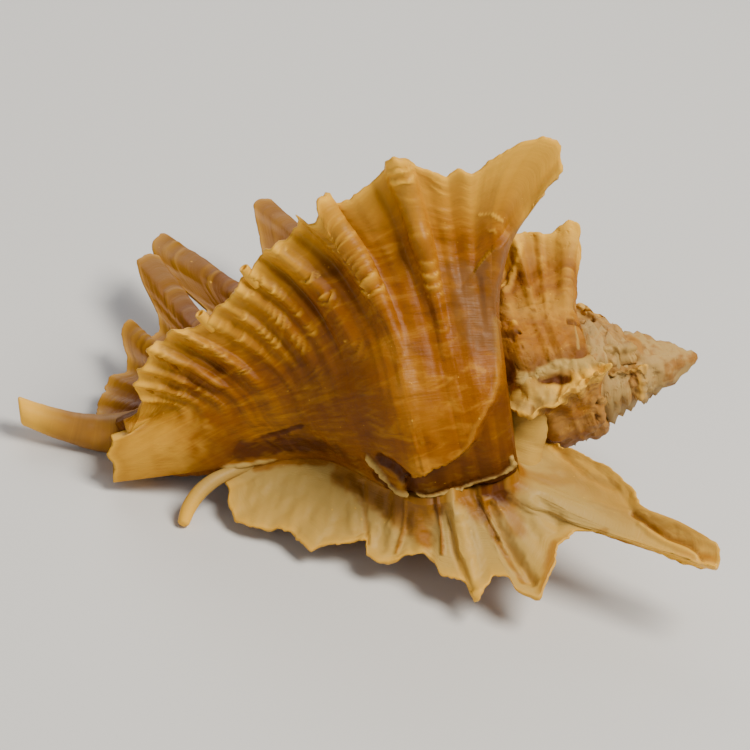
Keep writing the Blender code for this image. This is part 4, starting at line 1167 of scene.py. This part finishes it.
def add_piece(name, parts, finish):
    """Makes one object from mesh parts, which rides on the shell's body and stands for the plain solid."""
    material = finishes(bpy.context.scene.murex_colours)[finish]
    points, quads, fans, masks = join(parts)
    mesh = bpy.data.meshes.new(name)
    mesh.vertices.add(len(points))
    mesh.vertices.foreach_set("co", at_rest(points).astype(np.float32).ravel())
    mesh.loops.add(quads.size + fans.size)
    mesh.loops.foreach_set("vertex_index", np.concatenate([quads.ravel(), fans.ravel()]).astype(np.int32))
    mesh.polygons.add(len(quads) + len(fans))
    starts = np.concatenate([np.arange(len(quads)) * 4, quads.size + np.arange(len(fans)) * 3])
    mesh.polygons.foreach_set("loop_start", starts.astype(np.int32))
    mesh.update(calc_edges=True)
    if mesh.validate(verbose=False):
        raise RuntimeError(f"{name}: its mesh needed repair")
    for mask, value in masks.items():
        layer = mesh.attributes.new(mask, "FLOAT", "POINT")
        layer.data.foreach_set("value", value.astype(np.float32))
    mesh.shade_smooth()
    mesh.materials.append(material)
    piece = bpy.data.objects.new(name, mesh)
    bpy.context.scene.collection.objects.link(piece)
    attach(piece, "root")
    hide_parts("shell")
    return piece


def look_for(form, seed, **changes):
    """The settings of one sector or tube, with these changes.

    Rows, columns and `scales`, the growth steps on a wing; scale_pitch, the mm of whorl in a growth step;
    edge, ragged, rounding and rim_blend of the rim, in mm; swell, ripple and worn, heights in mm; early,
    which draws the whorl's rows toward its start; dome, arcs, flutes, crust, cream, old and shade, which
    are shares of cords on the whorl, of growth's lead on cords, of cords on the front, and of colours; and
    the switches keel and lift."""
    return {"seed": seed, "columns": 420, "whorl_rows": 60, "back_rows": 84, "front_rows": 64, "early": 1.0,
            "scales": 18.0, "scale_pitch": 1.7, "edge": form.rim_thickness / MM, "rounding": 0.5,
            "ragged": form.rim_tearing / MM, "rim_blend": 1.0, "cord_share": form.cord_height, "dome": 0.05,
            "arcs": 0.6, "flutes": 0.85, "scale_share": form.scale_height, "ripple": 0.07, "swell": 0.3,
            "worn": 0.0, "crust": 0.0, "cream": 0.0, "old": 0.0, "shade": 0.0, "tube_rough": 1.0,
            "keel": False, "lift": False} | changes


def sector_part(start, wing, whorl_start, whorl_end, rim, sweep, cords, look, hollow=None, marks=()):
    """A finished mesh part of one sector."""
    grid = sculpt(sector(start, wing, whorl_start, whorl_end, rim, sweep, look, hollow), cords, look, marks)
    masks = colour_masks(grid, look)
    return ring_mesh(lifted(grid["points"]) if look["lift"] else grid["points"], masks)


def spire_factor(index):
    """The size of spire sector `index` against wing A's, by the whorl's growth."""
    return WHORL_GROWTH ** ((SPIRE_ROOTS[index] - SPIRE_ROOTS[0]) / 360)


def spire_whorl(index):
    """Whorl outline at the root of spire sector `index`: wing A's, shrunk, its suture shifted along."""
    table = np.array(scaled(WHORL_A, spire_factor(index)))
    table[:, 1] += SUTURE_SHIFT[index] * (1 - ease(*SUTURE_BLEND, table[:, 0]))
    table[:, 2] *= OLD_SLIM if index > LAST_FULL else 1.0
    return table.tolist()


def spire_sector(index, look):
    """Sector `index` of the spire, a smaller and more worn one for each further back."""
    root, start = SPIRE_ROOTS[index], SPIRE_ROOTS[index + 1]
    whorl = spire_whorl(index)
    tables = (RIM_A, RIM_1, RIM_2, RIM_3, RIM_4, RIM_5)
    rim = tables[index] if index < len(tables) else scaled(RIM_WORN, spire_factor(index))
    if index == 1:
        rim = faded(whorl, rim)
    turned = {key: value + root - WING_A["root"] for key, value in WING_A.items()}
    if index == CREST_NUMBER:
        turned.update(CREST_WING)
    return sector_part(start, turned, spire_whorl(index + 1), whorl, rim, SHOULDER_SWEEP["A"],
                       CORDS_SPIRE if index else CORDS_A, look, marks=MARKS["spire" if index else "A"])


# The lining of the aperture: radius of its lip and thickness of its wall in mm, the turn of its mouth,
# rows of its inner wall, lip and outer wall, and points round it.
LIP = 1.15
WALL = 0.5
MOUTH_TURN = 181.0
INNER_ROWS = 60
LIP_ROWS = 10
OUTER_ROWS = 24
LINING_SIDES = 160
# The mouth's tilt in degrees, all round and toward the outer side, and the reach that its mm are taken at.
MOUTH_TILT = (2.0, 9.0)
MOUTH_REACH = 24
# Teeth of the lip: how many round it, height in mm, distance from the mouth and fade in mm. Both ends of
# the lining are closed to a share of its width.
TEETH = 15.0
TOOTH_HEIGHT = 0.75
TOOTH_FROM_MOUTH = 1.4
TOOTH_FADE = 1.3
CLOSED_SHARE = 0.02


def aperture_part():
    """The lining of the aperture: a cup whose cross-section is the hollow's oval, with a rolled lip.

    Rows run from the deep end out along the inner wall, round the lip as a half circle, and back along the
    outer wall. The mouth is tilted: the outer side lies at a smaller turn than the columellar side."""
    table = np.array(HOLLOW)
    angle = np.linspace(0, 2 * np.pi, LINING_SIDES, endpoint=False)[None, :]
    inner = np.linspace(table[0, 0], MOUTH_TURN, INNER_ROWS)
    theta = np.radians(np.linspace(0, 180, LIP_ROWS + 2))[1:-1]
    outer = np.linspace(MOUTH_TURN, table[0, 0] - 2, OUTER_ROWS)
    turn = np.concatenate([inner, np.full(LIP_ROWS, MOUTH_TURN), outer])[:, None]
    lift_mm = np.concatenate([np.zeros(INNER_ROWS), LIP * np.sin(theta), np.zeros(OUTER_ROWS)])[:, None]
    grow = np.concatenate([np.zeros(INNER_ROWS), LIP * (1 - np.cos(theta)),
                           WALL + (2 * LIP - WALL) * ease(170.0, MOUTH_TURN, outer)])[:, None]
    near_mouth = ease(150.0, MOUTH_TURN, turn)
    all_round, outer_side = MOUTH_TILT
    tilt = near_mouth * (all_round - outer_side * np.sin(angle))
    middle_along, middle, half_long, half_wide = (smooth_through(table[:, 0], value, turn[:, 0])[:, None]
                                                  for value in table.T[1:])
    teeth = 0.5 * (1 + np.cos(angle * TEETH)) * ease(0.25, 0.6, np.sin(angle))
    mouth_mm = (MOUTH_TURN - turn) * np.radians(1) * MOUTH_REACH
    inward = TOOTH_HEIGHT * teeth * np.exp(-((mouth_mm - TOOTH_FROM_MOUTH) / TOOTH_FADE) ** 2) * (grow <= 0)
    close = np.ones(turn.shape)
    close[[0, -1]] = CLOSED_SHARE
    along = middle_along + (half_long * close + grow - inward) * np.cos(angle)
    reach = middle + (half_wide * close + grow - inward) * np.sin(angle)
    lift_turn = np.degrees(lift_mm / np.maximum(reach, LEAST_REACH))
    points = axis_point(along, turn + tilt + lift_turn, reach)
    # deep is painted shade, darkest toward the lining's deep end inside the hollow.
    masks = plain_masks(points.shape[:2], pale=up_from(0.3, near_mouth), deep=1 - ease(130.0, 165.0, turn),
                        cream=1.0, stain=np.clip(grow / (2 * LIP), 0, 1), growth=turn / 3, ray=angle)
    return tube_mesh(points, masks)


def value_node(tree, kind, place, **settings):
    """A node of this kind at this place in the tree, with its plain settings."""
    node = tree.nodes.new(kind)
    node.location = place
    for key, value in settings.items():
        setattr(node, key, value)
    return node


def feed(tree, socket, value):
    """Links a socket to an input, or sets the input to a plain value."""
    if isinstance(value, bpy.types.NodeSocket):
        tree.links.new(value, socket)
    else:
        socket.default_value = value


def mix_colour(tree, place, factor, first, second):
    """A colour mix; each input is a socket or a plain value."""
    node = value_node(tree, "ShaderNodeMix", place, data_type="RGBA")
    for slot, value in ((0, factor), (6, first), (7, second)):
        feed(tree, node.inputs[slot], value)
    return node.outputs[2]


def number(tree, place, operation, first, second=0.0, third=0.0):
    """A math node; each input is a socket or a plain value."""
    node = value_node(tree, "ShaderNodeMath", place, operation=operation)
    for slot, value in enumerate((first, second, third)):
        feed(tree, node.inputs[slot], value)
    return node.outputs[0]


def mapped(tree, place, value, low, high, to_low=0.0, to_high=1.0):
    """A clamped change of range, smooth at both ends."""
    node = value_node(tree, "ShaderNodeMapRange", place, interpolation_type="SMOOTHSTEP")
    tree.links.new(value, node.inputs[0])
    for slot, limit in enumerate((low, high, to_low, to_high), 1):
        node.inputs[slot].default_value = limit
    return node.outputs[0]


def noise(tree, place, vector, scale, detail=4.0, roughness=0.55, distortion=0.0):
    """The value of a noise texture over this vector."""
    node = value_node(tree, "ShaderNodeTexNoise", place)
    tree.links.new(vector, node.inputs["Vector"])
    settings = {"Scale": scale, "Detail": detail, "Roughness": roughness, "Distortion": distortion}
    for name, value in settings.items():
        node.inputs[name].default_value = value
    return node.outputs[0]


def attribute(tree, place, name):
    """The value of a mesh's attribute."""
    node = value_node(tree, "ShaderNodeAttribute", place, attribute_name=name)
    return node.outputs["Fac"]


def new_group(name, inputs, outputs):
    """A shader group with these (name, socket type, default) inputs and (name, socket type) outputs."""
    group = bpy.data.node_groups.new(name, "ShaderNodeTree")
    for label, kind, default in inputs:
        socket = group.interface.new_socket(label, in_out="INPUT", socket_type=kind)
        socket.default_value = default
    for label, kind in outputs:
        group.interface.new_socket(label, in_out="OUTPUT", socket_type=kind)
    entry = value_node(group, "NodeGroupInput", (-1400, 0))
    return group, entry, value_node(group, "NodeGroupOutput", (900, 0))


def growth_vector(group, place, across, down):
    """A vector of the ray and growth attributes, stretched by these amounts."""
    vector = value_node(group, "ShaderNodeCombineXYZ", place)
    for slot, (name, stretch) in enumerate((("ray", across), ("growth", down))):
        row = place[1] - 160 * slot
        value = attribute(group, (place[0] - 400, row), name)
        value = number(group, (place[0] - 200, row), "MULTIPLY", value, stretch)
        group.links.new(value, vector.inputs[slot])
    return vector.outputs[0]


def pigment_group():
    """Shell pigment: body colour varied by noise and streaks along growth, then deep, blush, cream,
    stain, pale and weathered colours laid over it by their masks, each mask broken up by noise, and
    last chalky specks. Deep is mostly painted shade, pale and blush carry painted highlights and the rims'
    painted glow, and stain carries painted shade in part."""
    colours = [(name, "NodeSocketColor", (0.5, 0.5, 0.5, 1)) for name in PIGMENTS]
    masks = [(f"{name} Mask", "NodeSocketFloat", 0.0) for name in LAID_OVER]
    group, entry, leave = new_group("Shell pigment", colours + masks, [("Color", "NodeSocketColor")])
    place = value_node(group, "ShaderNodeTexCoord", (-1400, 500)).outputs["Object"]
    ray_vector = growth_vector(group, (-900, 800), across=3.0, down=0.06)
    line_vector = growth_vector(group, (-900, 1100), across=0.9, down=0.7)
    broad = noise(group, (-1100, 500), place, scale=95.0, detail=3.0)
    fine = noise(group, (-1100, 300), place, scale=420.0, detail=5.0)
    patches = noise(group, (-700, -200), place, scale=260.0, detail=4.0)
    chalk = noise(group, (500, 600), place, scale=1100.0, detail=2.0, roughness=0.5)
    rays = noise(group, (-700, 800), ray_vector, scale=1.0, detail=2.0)
    lines = noise(group, (-700, 1100), line_vector, scale=1.0, detail=5.0, roughness=0.6, distortion=0.8)
    tan = number(group, (-500, 600), "ADD",
                 mapped(group, (-700, 500), broad, low=0.42, high=0.70, to_high=0.45),
                 mapped(group, (-500, 800), lines, low=0.50, high=0.72, to_high=0.6))
    dark = number(group, (-300, 800), "ADD",
                  mapped(group, (-500, 900), rays, low=0.5, high=0.75, to_high=0.1),
                  mapped(group, (-500, 1100), lines, low=0.48, high=0.30, to_high=0.4))
    colour = mix_colour(group, (-300, 400), tan, entry.outputs["Body"], entry.outputs["Tan"])
    colour = mix_colour(group, (-100, 400), dark, colour, entry.outputs["Deep"])
    broken = mapped(group, (-500, 200), fine, low=0.3, high=0.65, to_low=0.5, to_high=1.2)
    streaked = mapped(group, (-500, 0), rays, low=0.3, high=0.6, to_low=0.8, to_high=1.15)
    patchy = mapped(group, (-500, -200), patches, low=0.36, high=0.54, to_low=0.35, to_high=1.1)
    for step, name in enumerate(LAID_OVER):
        mask = entry.outputs[f"{name} Mask"]
        if name != "Cream":
            breaking = {"Blush": broken, "Old": patchy}.get(name, streaked)
            mask = number(group, (step * 150 - 100, 100), "MULTIPLY", mask, breaking)
            mask.node.use_clamp = True
        colour = mix_colour(group, (step * 150, 300), mask, colour, entry.outputs[name])
    specks = mapped(group, (700, 600), chalk, low=0.74, high=0.78, to_high=0.5)
    colour = mix_colour(group, (850, 300), specks, colour, entry.outputs["Pale"])
    group.links.new(colour, leave.inputs["Color"])
    return group


def relief_group():
    """Fine relief: growth lines finer than the mesh, grain, and pits where the shell is weathered."""
    defaults = {"Lines": 0.5, "Grain": 0.3, "Pits": 0.0}
    inputs = [(name, "NodeSocketFloat", value) for name, value in defaults.items()]
    group, entry, leave = new_group("Shell fine relief", inputs, [("Height", "NodeSocketFloat")])
    place = value_node(group, "ShaderNodeTexCoord", (-1400, 500)).outputs["Object"]
    line_vector = growth_vector(group, (-900, 400), across=1.2, down=5.0)
    ray_vector = growth_vector(group, (-900, 800), across=9.0, down=0.5)
    lines = noise(group, (-700, 400), line_vector, scale=1.0, detail=5.0)
    rays = noise(group, (-700, 800), ray_vector, scale=1.0, detail=3.0)
    grain = noise(group, (-700, 100), place, scale=1500.0, detail=4.0)
    holes = noise(group, (-700, -200), place, scale=800.0, detail=2.0)
    pits = mapped(group, (-500, -200), holes, low=0.28, high=0.42)
    both = number(group, (-400, 500), "MULTIPLY_ADD", rays, 0.1, lines)
    height = number(group, (-300, 300), "MULTIPLY", both, entry.outputs["Lines"])
    for step, (value, label) in enumerate(((grain, "Grain"), (pits, "Pits"))):
        share = number(group, (-300 + 200 * step, 100 - 200 * step), "MULTIPLY", value, entry.outputs[label])
        height = number(group, (-100 + 200 * step, 200 - 100 * step), "ADD", height, share)
    group.links.new(height, leave.inputs["Height"])
    return group


def shell_finish(name, colours, groups, roughness, relief, gloss=0.15, coat=0.0):
    """A Principled material with its colour from the pigment group and its bump from the relief group."""
    material = bpy.data.materials.new(name)
    material.use_nodes = True
    tree = material.node_tree
    surface = tree.nodes["Principled BSDF"]
    surface.location = (500, 0)
    surface.inputs["Roughness"].default_value = roughness
    surface.inputs["Coat Weight"].default_value = coat
    surface.inputs["Coat Roughness"].default_value = 0.3
    surface.inputs["Specular IOR Level"].default_value = gloss
    surface.inputs["Subsurface Weight"].default_value = 0.06
    surface.inputs["Subsurface Radius"].default_value = (1.0, 0.45, 0.2)
    surface.inputs["Subsurface Scale"].default_value = 0.0012
    pigment = value_node(tree, "ShaderNodeGroup", (0, 200), node_tree=groups["pigment"])
    for label, colour in colours.items():
        pigment.inputs[label].default_value = (*colour, 1.0)
    for row, label in enumerate(LAID_OVER):
        mask = attribute(tree, (-400, 300 - 160 * row), label.lower())
        tree.links.new(mask, pigment.inputs[f"{label} Mask"])
    tree.links.new(pigment.outputs[0], surface.inputs["Base Color"])
    fine = value_node(tree, "ShaderNodeGroup", (0, -300), node_tree=groups["relief"])
    for label, value in relief.items():
        fine.inputs[label].default_value = value
    raised = value_node(tree, "ShaderNodeBump", (250, -300))
    raised.inputs["Strength"].default_value = 0.8
    raised.inputs["Distance"].default_value = FINE_RELIEF * MM
    tree.links.new(fine.outputs[0], raised.inputs["Height"])
    tree.links.new(raised.outputs[0], surface.inputs["Normal"])
    return material


def finishes(colours):
    """The shell's finishes by name, made once."""
    names = ("last growth", "old growth", "canal", "aperture glaze")
    if names[0] in bpy.data.materials:
        return {name: bpy.data.materials[name] for name in names}
    groups = {"pigment": pigment_group(), "relief": relief_group()}
    named = {name: tuple(getattr(colours, name.lower())) for name in PIGMENTS}
    glaze = tuple(colours.glaze)
    glazed = dict(named, Body=glaze, Tan=glaze, Cream=glaze)
    made = (
        shell_finish(names[0], named, groups, 0.42, {"Lines": 0.7, "Grain": 0.25}),
        shell_finish(names[1], named, groups, 0.6, {"Lines": 0.5, "Grain": 0.5, "Pits": 0.8}),
        shell_finish(names[2], named, groups, 0.42, {"Lines": 0.4, "Grain": 0.15}),
        shell_finish(names[3], glazed, groups, 0.24, {"Lines": 0.1, "Grain": 0.0}, gloss=0.5, coat=0.4),
    )
    return dict(zip(names, made))


class ShellForm(bpy.types.PropertyGroup):
    """Sizes of the shell's sculpture."""

    rim_thickness: bpy.props.FloatProperty(
        name="Rim thickness", description="Thickness of a wing at its rim", default=0.55 * MM, unit="LENGTH")
    rim_tearing: bpy.props.FloatProperty(
        name="Rim tearing", description="How far the ragged rim strays", default=0.45 * MM, unit="LENGTH")
    cord_height: bpy.props.FloatProperty(
        name="Cord height", description="Height of the spiral cords, as a share of the listed ones",
        default=1.0, subtype="FACTOR", max=2.0)
    scale_height: bpy.props.FloatProperty(
        name="Scale height", description="Height of the scales, as a share of the listed ones",
        default=1.0, subtype="FACTOR", max=2.0)


def colour_property(label, description, default):
    """A colour in the sidebar."""
    return bpy.props.FloatVectorProperty(name=label, description=description, default=default,
                                         subtype="COLOR", min=0.0, max=1.0)


class ShellColours(bpy.types.PropertyGroup):
    """Colours of the shell."""

    body: colour_property("Body", "Orange-brown of the outer side", (0.24, 0.070, 0.0))
    tan: colour_property("Tan", "Lighter stretches of the outer side", (0.47, 0.195, 0.008))
    # Deep is mostly painted shade: grooves, the wing's foot, recesses, under the crust and over a shaded
    # wing; it also darkens streaks along growth.
    deep: colour_property("Deep", "Grooves and the foot of a wing", (0.082, 0.020, 0.0))
    # Blush on the crests is a painted highlight.
    blush: colour_property("Blush", "Pinkish brown of crests and shoulder", (0.185, 0.073, 0.016))
    # Pale is partly painted light: the rims' glow, and highlights on crests, the keel's line and the flap's
    # edge.
    pale: colour_property("Pale", "Rims, crests and scale edges", (0.80, 0.42, 0.035))
    cream: colour_property("Cream", "Front side of the wings", (0.42, 0.265, 0.066))
    # stain is orange stain, and painted shade at the fronts' root and in their flutes and dents.
    stain: colour_property("Stain", "Orange stain on the fronts", (0.25, 0.092, 0.003))
    old: colour_property("Old", "Rubbed shell near the apex", (0.40, 0.25, 0.08))
    glaze: colour_property("Glaze", "Porcelain lining of the aperture", (0.78, 0.64, 0.42))


class StageLook(bpy.types.PropertyGroup):
    """The floor, the lights and the camera."""

    floor: colour_property("Floor", "Colour of the floor", (0.62, 0.61, 0.59))
    light: bpy.props.FloatProperty(
        name="Light", description="Power of the main light", default=6.5, unit="POWER")
    distance: bpy.props.FloatProperty(
        name="Camera distance", description="Distance from camera to shell", default=0.6, unit="LENGTH")


class MUREX_OT_last_whorl(bpy.types.Operator):
    """Adds the last whorl with the large wing that faces up"""

    bl_idname = "murex.last_whorl"
    bl_label = "Last whorl and upper wing"

    def execute(self, context):
        form = context.scene.murex_form
        look = look_for(form, 21, whorl_rows=70, back_rows=92, front_rows=48, early=1.2, keel=True,
                        crust=0.25, rim_blend=2.5, scale_share=1.65 * form.scale_height)
        parts = [sector_part(WING_A["root"], WING_B, WHORL_A, WHORL_B, RIM_B, SHOULDER_SWEEP["B"], CORDS_B,
                             look, marks=MARKS["B"])]
        for line in NUBS:
            points, along, end = tube(line, 20, 24, look, opening=0.6)
            parts.append(tube_mesh(points, plain_masks(end.shape, pale=up_from(0.3, end), growth=along)))
        add_piece("last_whorl", parts, "last growth")
        return {"FINISHED"}


class MUREX_OT_aperture_wing(bpy.types.Operator):
    """Adds the newest growth, whose fingered wing stands beside the aperture"""

    bl_idname = "murex.aperture_wing"
    bl_label = "Aperture wing"

    def execute(self, context):
        look = look_for(context.scene.murex_form, 42, columns=470, whorl_rows=40, back_rows=88,
                        front_rows=62, shade=0.65)
        part = sector_part(WING_B["root"], WING_C, WHORL_B, WHORL_C, RIM_C, SHOULDER_SWEEP["C"], CORDS_C,
                           look, hollow=HOLLOW_WALL)
        add_piece("aperture_wing", [part], "last growth")
        return {"FINISHED"}


class MUREX_OT_lower_wing(bpy.types.Operator):
    """Adds the wing that faces the viewer, with its long shoulder spine"""

    bl_idname = "murex.lower_wing"
    bl_label = "Lower wing"

    def execute(self, context):
        form = context.scene.murex_form
        look = look_for(form, 63, whorl_rows=42, back_rows=64, front_rows=104, cream=1.0, flutes=0.38)
        points, along, end = tube(CALLUS, 60, 40, look_for(form, 64, worn=0.2), flat=CALLUS_FLATNESS)
        callus = tube_mesh(points, plain_masks(end.shape, cream=1.0, pale=0.3, growth=along))
        add_piece("lower_wing", [spire_sector(0, look), callus], "last growth")
        return {"FINISHED"}


def spire_parts(form, sectors, **rows):
    """Mesh parts of these sectors of the spire, each further back more worn, with these grid sizes."""
    parts = []
    for index in sectors:
        size = spire_factor(index)
        look = look_for(form, 80 + index, scales=9.0, cord_share=size, scale_share=size * 1.2, ripple=0.12,
                        ragged=form.rim_tearing / MM * 1.2, dome=0.25, crust=0.7, rounding=0.35, swell=0.2,
                        old=OLDNESS[index], cream=CREAM[index], worn=WORN[index], lift=True, **rows)
        parts.append(spire_sector(index, look))
    return parts


class MUREX_OT_spire(bpy.types.Operator):
    """Adds the younger part of the spire, with three wings"""

    bl_idname = "murex.spire"
    bl_label = "Spire"

    def execute(self, context):
        parts = spire_parts(context.scene.murex_form, (1, 2, 3), columns=230, whorl_rows=36, back_rows=48,
                            front_rows=34)
        add_piece("spire", parts, "old growth")
        return {"FINISHED"}


class MUREX_OT_apex(bpy.types.Operator):
    """Adds the worn whorls of the apex and the tip"""

    bl_idname = "murex.apex"
    bl_label = "Apex"

    def execute(self, context):
        form = context.scene.murex_form
        parts = spire_parts(form, (4, 5, 6, 7), columns=150, whorl_rows=26, back_rows=34, front_rows=24)
        points, along, end = tube(TIP, 120, 90, look_for(form, 99, tube_rough=2.5, worn=0.7), ribs=0.07)
        pits = 0.45 * ease(0.3, 0.6, space_noise(points, 0.7, 13))
        masks = plain_masks(end.shape, old=1.0 - pits, deep=pits, growth=along)
        parts.append(tube_mesh(lifted(points), masks))
        add_piece("apex", parts, "old growth")
        return {"FINISHED"}


class MUREX_OT_canals(bpy.types.Operator):
    """Adds the siphonal canal and the ends of the two older ones beside it"""

    bl_idname = "murex.canals"
    bl_label = "Siphonal canals"

    def execute(self, context):
        parts = []
        for seed, (line, opening, flat, slant, cream) in enumerate(CANAL_LOOKS, 120):
            look = look_for(context.scene.murex_form, seed)
            points, along, end = tube(line, 150, 84, look, opening, flat, slant)
            masks = plain_masks(end.shape, pale=end ** 1.5, deep=0.5 * (1 - ease(0.0, 12.0, along)),
                                cream=cream, growth=along / look["scale_pitch"])
            parts.append(tube_mesh(points, masks))
        add_piece("canals", parts, "canal")
        return {"FINISHED"}


class MUREX_OT_aperture(bpy.types.Operator):
    """Adds the porcelain lining of the aperture with its toothed lip"""

    bl_idname = "murex.aperture"
    bl_label = "Aperture"

    def execute(self, context):
        add_piece("aperture", [aperture_part()], "aperture glaze")
        return {"FINISHED"}


# The photograph's frame: millimetres a pixel at the shell, pixels a side, the pixels of the apex and of
# the target, the shell's slope in degrees, and the camera's sensor in mm.
MM_PER_PIXEL = 0.155
PHOTO_SIDE = 750
APEX_PIXEL = (700.0, 365.0)
TARGET_PIXEL = (375.0, 375.0)
SHELL_SLOPE = 8.2
SENSOR = 36.0


def place_camera(distance):
    """A camera on the photograph's line of sight, aimed at the middle of its frame."""
    slope = np.radians(SHELL_SLOPE)
    right = np.array([np.cos(slope), 0.0, -np.sin(slope)])
    upward = np.array([np.sin(slope), 0.0, np.cos(slope)])
    back = np.array([0.0, -1.0, 0.0])
    offset = (np.array(TARGET_PIXEL) - np.array(APEX_PIXEL)) * MM_PER_PIXEL
    target = right * offset[0] - upward * offset[1]
    eye = target + back * distance / MM
    turned = rest_axes()
    camera = bpy.data.cameras.new("camera")
    camera.sensor_width = SENSOR
    camera.lens = SENSOR * distance / MM / (PHOTO_SIDE * MM_PER_PIXEL)
    holder = bpy.data.objects.new("camera", camera)
    axes = Matrix([turned @ right, turned @ upward, turned @ back]).transposed()
    holder.matrix_world = Matrix.Translation(at_rest(eye)) @ axes.to_4x4()
    bpy.context.scene.collection.objects.link(holder)
    bpy.context.scene.camera = holder


# Soft lights: (name, spot in m, width in m, share of the main light's power, colour), and their aim.
LIGHTS = [("key", (0.26, -0.16, 0.55), 0.30, 1.0, (1.0, 0.95, 0.86)),
          ("fill", (-0.5, -0.45, 0.25), 0.5, 0.22, (1.0, 0.97, 0.93)),
          ("back", (-0.1, 0.5, 0.35), 0.4, 0.3, (0.97, 0.98, 1.0))]
LIGHT_AIM = (0, 0, 0.02)
# The floor's half side in m, and the light of the world around.
FLOOR_HALF = 4.0
WORLD_COLOUR = (0.9, 0.92, 1.0, 1.0)
WORLD_STRENGTH = 0.16


def soft_light(name, spot, size, power, colour):
    """A square area light at a spot, in metres and watts, aimed at the shell."""
    lamp = bpy.data.lights.new(name, "AREA")
    lamp.size = size
    lamp.energy = power
    lamp.color = colour
    holder = bpy.data.objects.new(name, lamp)
    holder.location = spot
    holder.rotation_euler = (Vector(LIGHT_AIM) - Vector(spot)).to_track_quat("-Z", "Y").to_euler()
    bpy.context.scene.collection.objects.link(holder)


def add_floor(colour):
    """A matt floor at height zero."""
    mesh = bpy.data.meshes.new("floor")
    corners = [(x * FLOOR_HALF, y * FLOOR_HALF, 0) for x, y in ((-1, -1), (1, -1), (1, 1), (-1, 1))]
    mesh.from_pydata(corners, [], [(0, 1, 2, 3)])
    material = bpy.data.materials.new("floor")
    material.use_nodes = True
    surface = material.node_tree.nodes["Principled BSDF"]
    surface.inputs["Base Color"].default_value = (*colour, 1.0)
    surface.inputs["Roughness"].default_value = 0.8
    mesh.materials.append(material)
    floor = bpy.data.objects.new("floor", mesh)
    bpy.context.scene.collection.objects.link(floor)


class MUREX_OT_stage(bpy.types.Operator):
    """Adds the pale floor, soft lights and the camera at the photograph's angle"""

    bl_idname = "murex.stage"
    bl_label = "Stage"

    def execute(self, context):
        look = context.scene.murex_stage
        add_floor(look.floor)
        place_camera(look.distance)
        for name, spot, size, share, colour in LIGHTS:
            soft_light(name, spot, size, look.light * share, colour)
        world = bpy.data.worlds.new("studio")
        world.use_nodes = True
        background = world.node_tree.nodes["Background"]
        background.inputs["Color"].default_value = WORLD_COLOUR
        background.inputs["Strength"].default_value = WORLD_STRENGTH
        context.scene.world = world
        return {"FINISHED"}


OPERATORS = (MUREX_OT_last_whorl, MUREX_OT_aperture_wing, MUREX_OT_lower_wing, MUREX_OT_spire, MUREX_OT_apex,
             MUREX_OT_canals, MUREX_OT_aperture, MUREX_OT_stage)


class MUREX_PT_panel(bpy.types.Panel):
    """Sizes, colours and one button for each piece"""

    bl_label = "Murex shell"
    bl_idname = "MUREX_PT_panel"
    bl_space_type = "VIEW_3D"
    bl_region_type = "UI"
    bl_category = "Shell"

    def draw(self, context):
        for group in (context.scene.murex_form, context.scene.murex_colours, context.scene.murex_stage):
            box = self.layout.box()
            for key in group.__annotations__:
                box.prop(group, key)
        for operator in OPERATORS:
            self.layout.operator(operator.bl_idname)


GROUPS = {"murex_form": ShellForm, "murex_colours": ShellColours, "murex_stage": StageLook}


def register():
    for kind in (*GROUPS.values(), *OPERATORS, MUREX_PT_panel):
        bpy.utils.register_class(kind)
    for name, kind in GROUPS.items():
        setattr(bpy.types.Scene, name, bpy.props.PointerProperty(type=kind))


def unregister():
    for name in GROUPS:
        delattr(bpy.types.Scene, name)
    for kind in (MUREX_PT_panel, *reversed(OPERATORS), *reversed(list(GROUPS.values()))):
        bpy.utils.unregister_class(kind)


def main():
    """Builds all pieces and the stage."""
    register()
    bpy.ops.murex.last_whorl()
    bpy.ops.murex.aperture_wing()
    bpy.ops.murex.lower_wing()
    bpy.ops.murex.spire()
    bpy.ops.murex.apex()
    bpy.ops.murex.canals()
    bpy.ops.murex.aperture()
    bpy.ops.murex.stage()


if __name__ == "__main__":
    main()
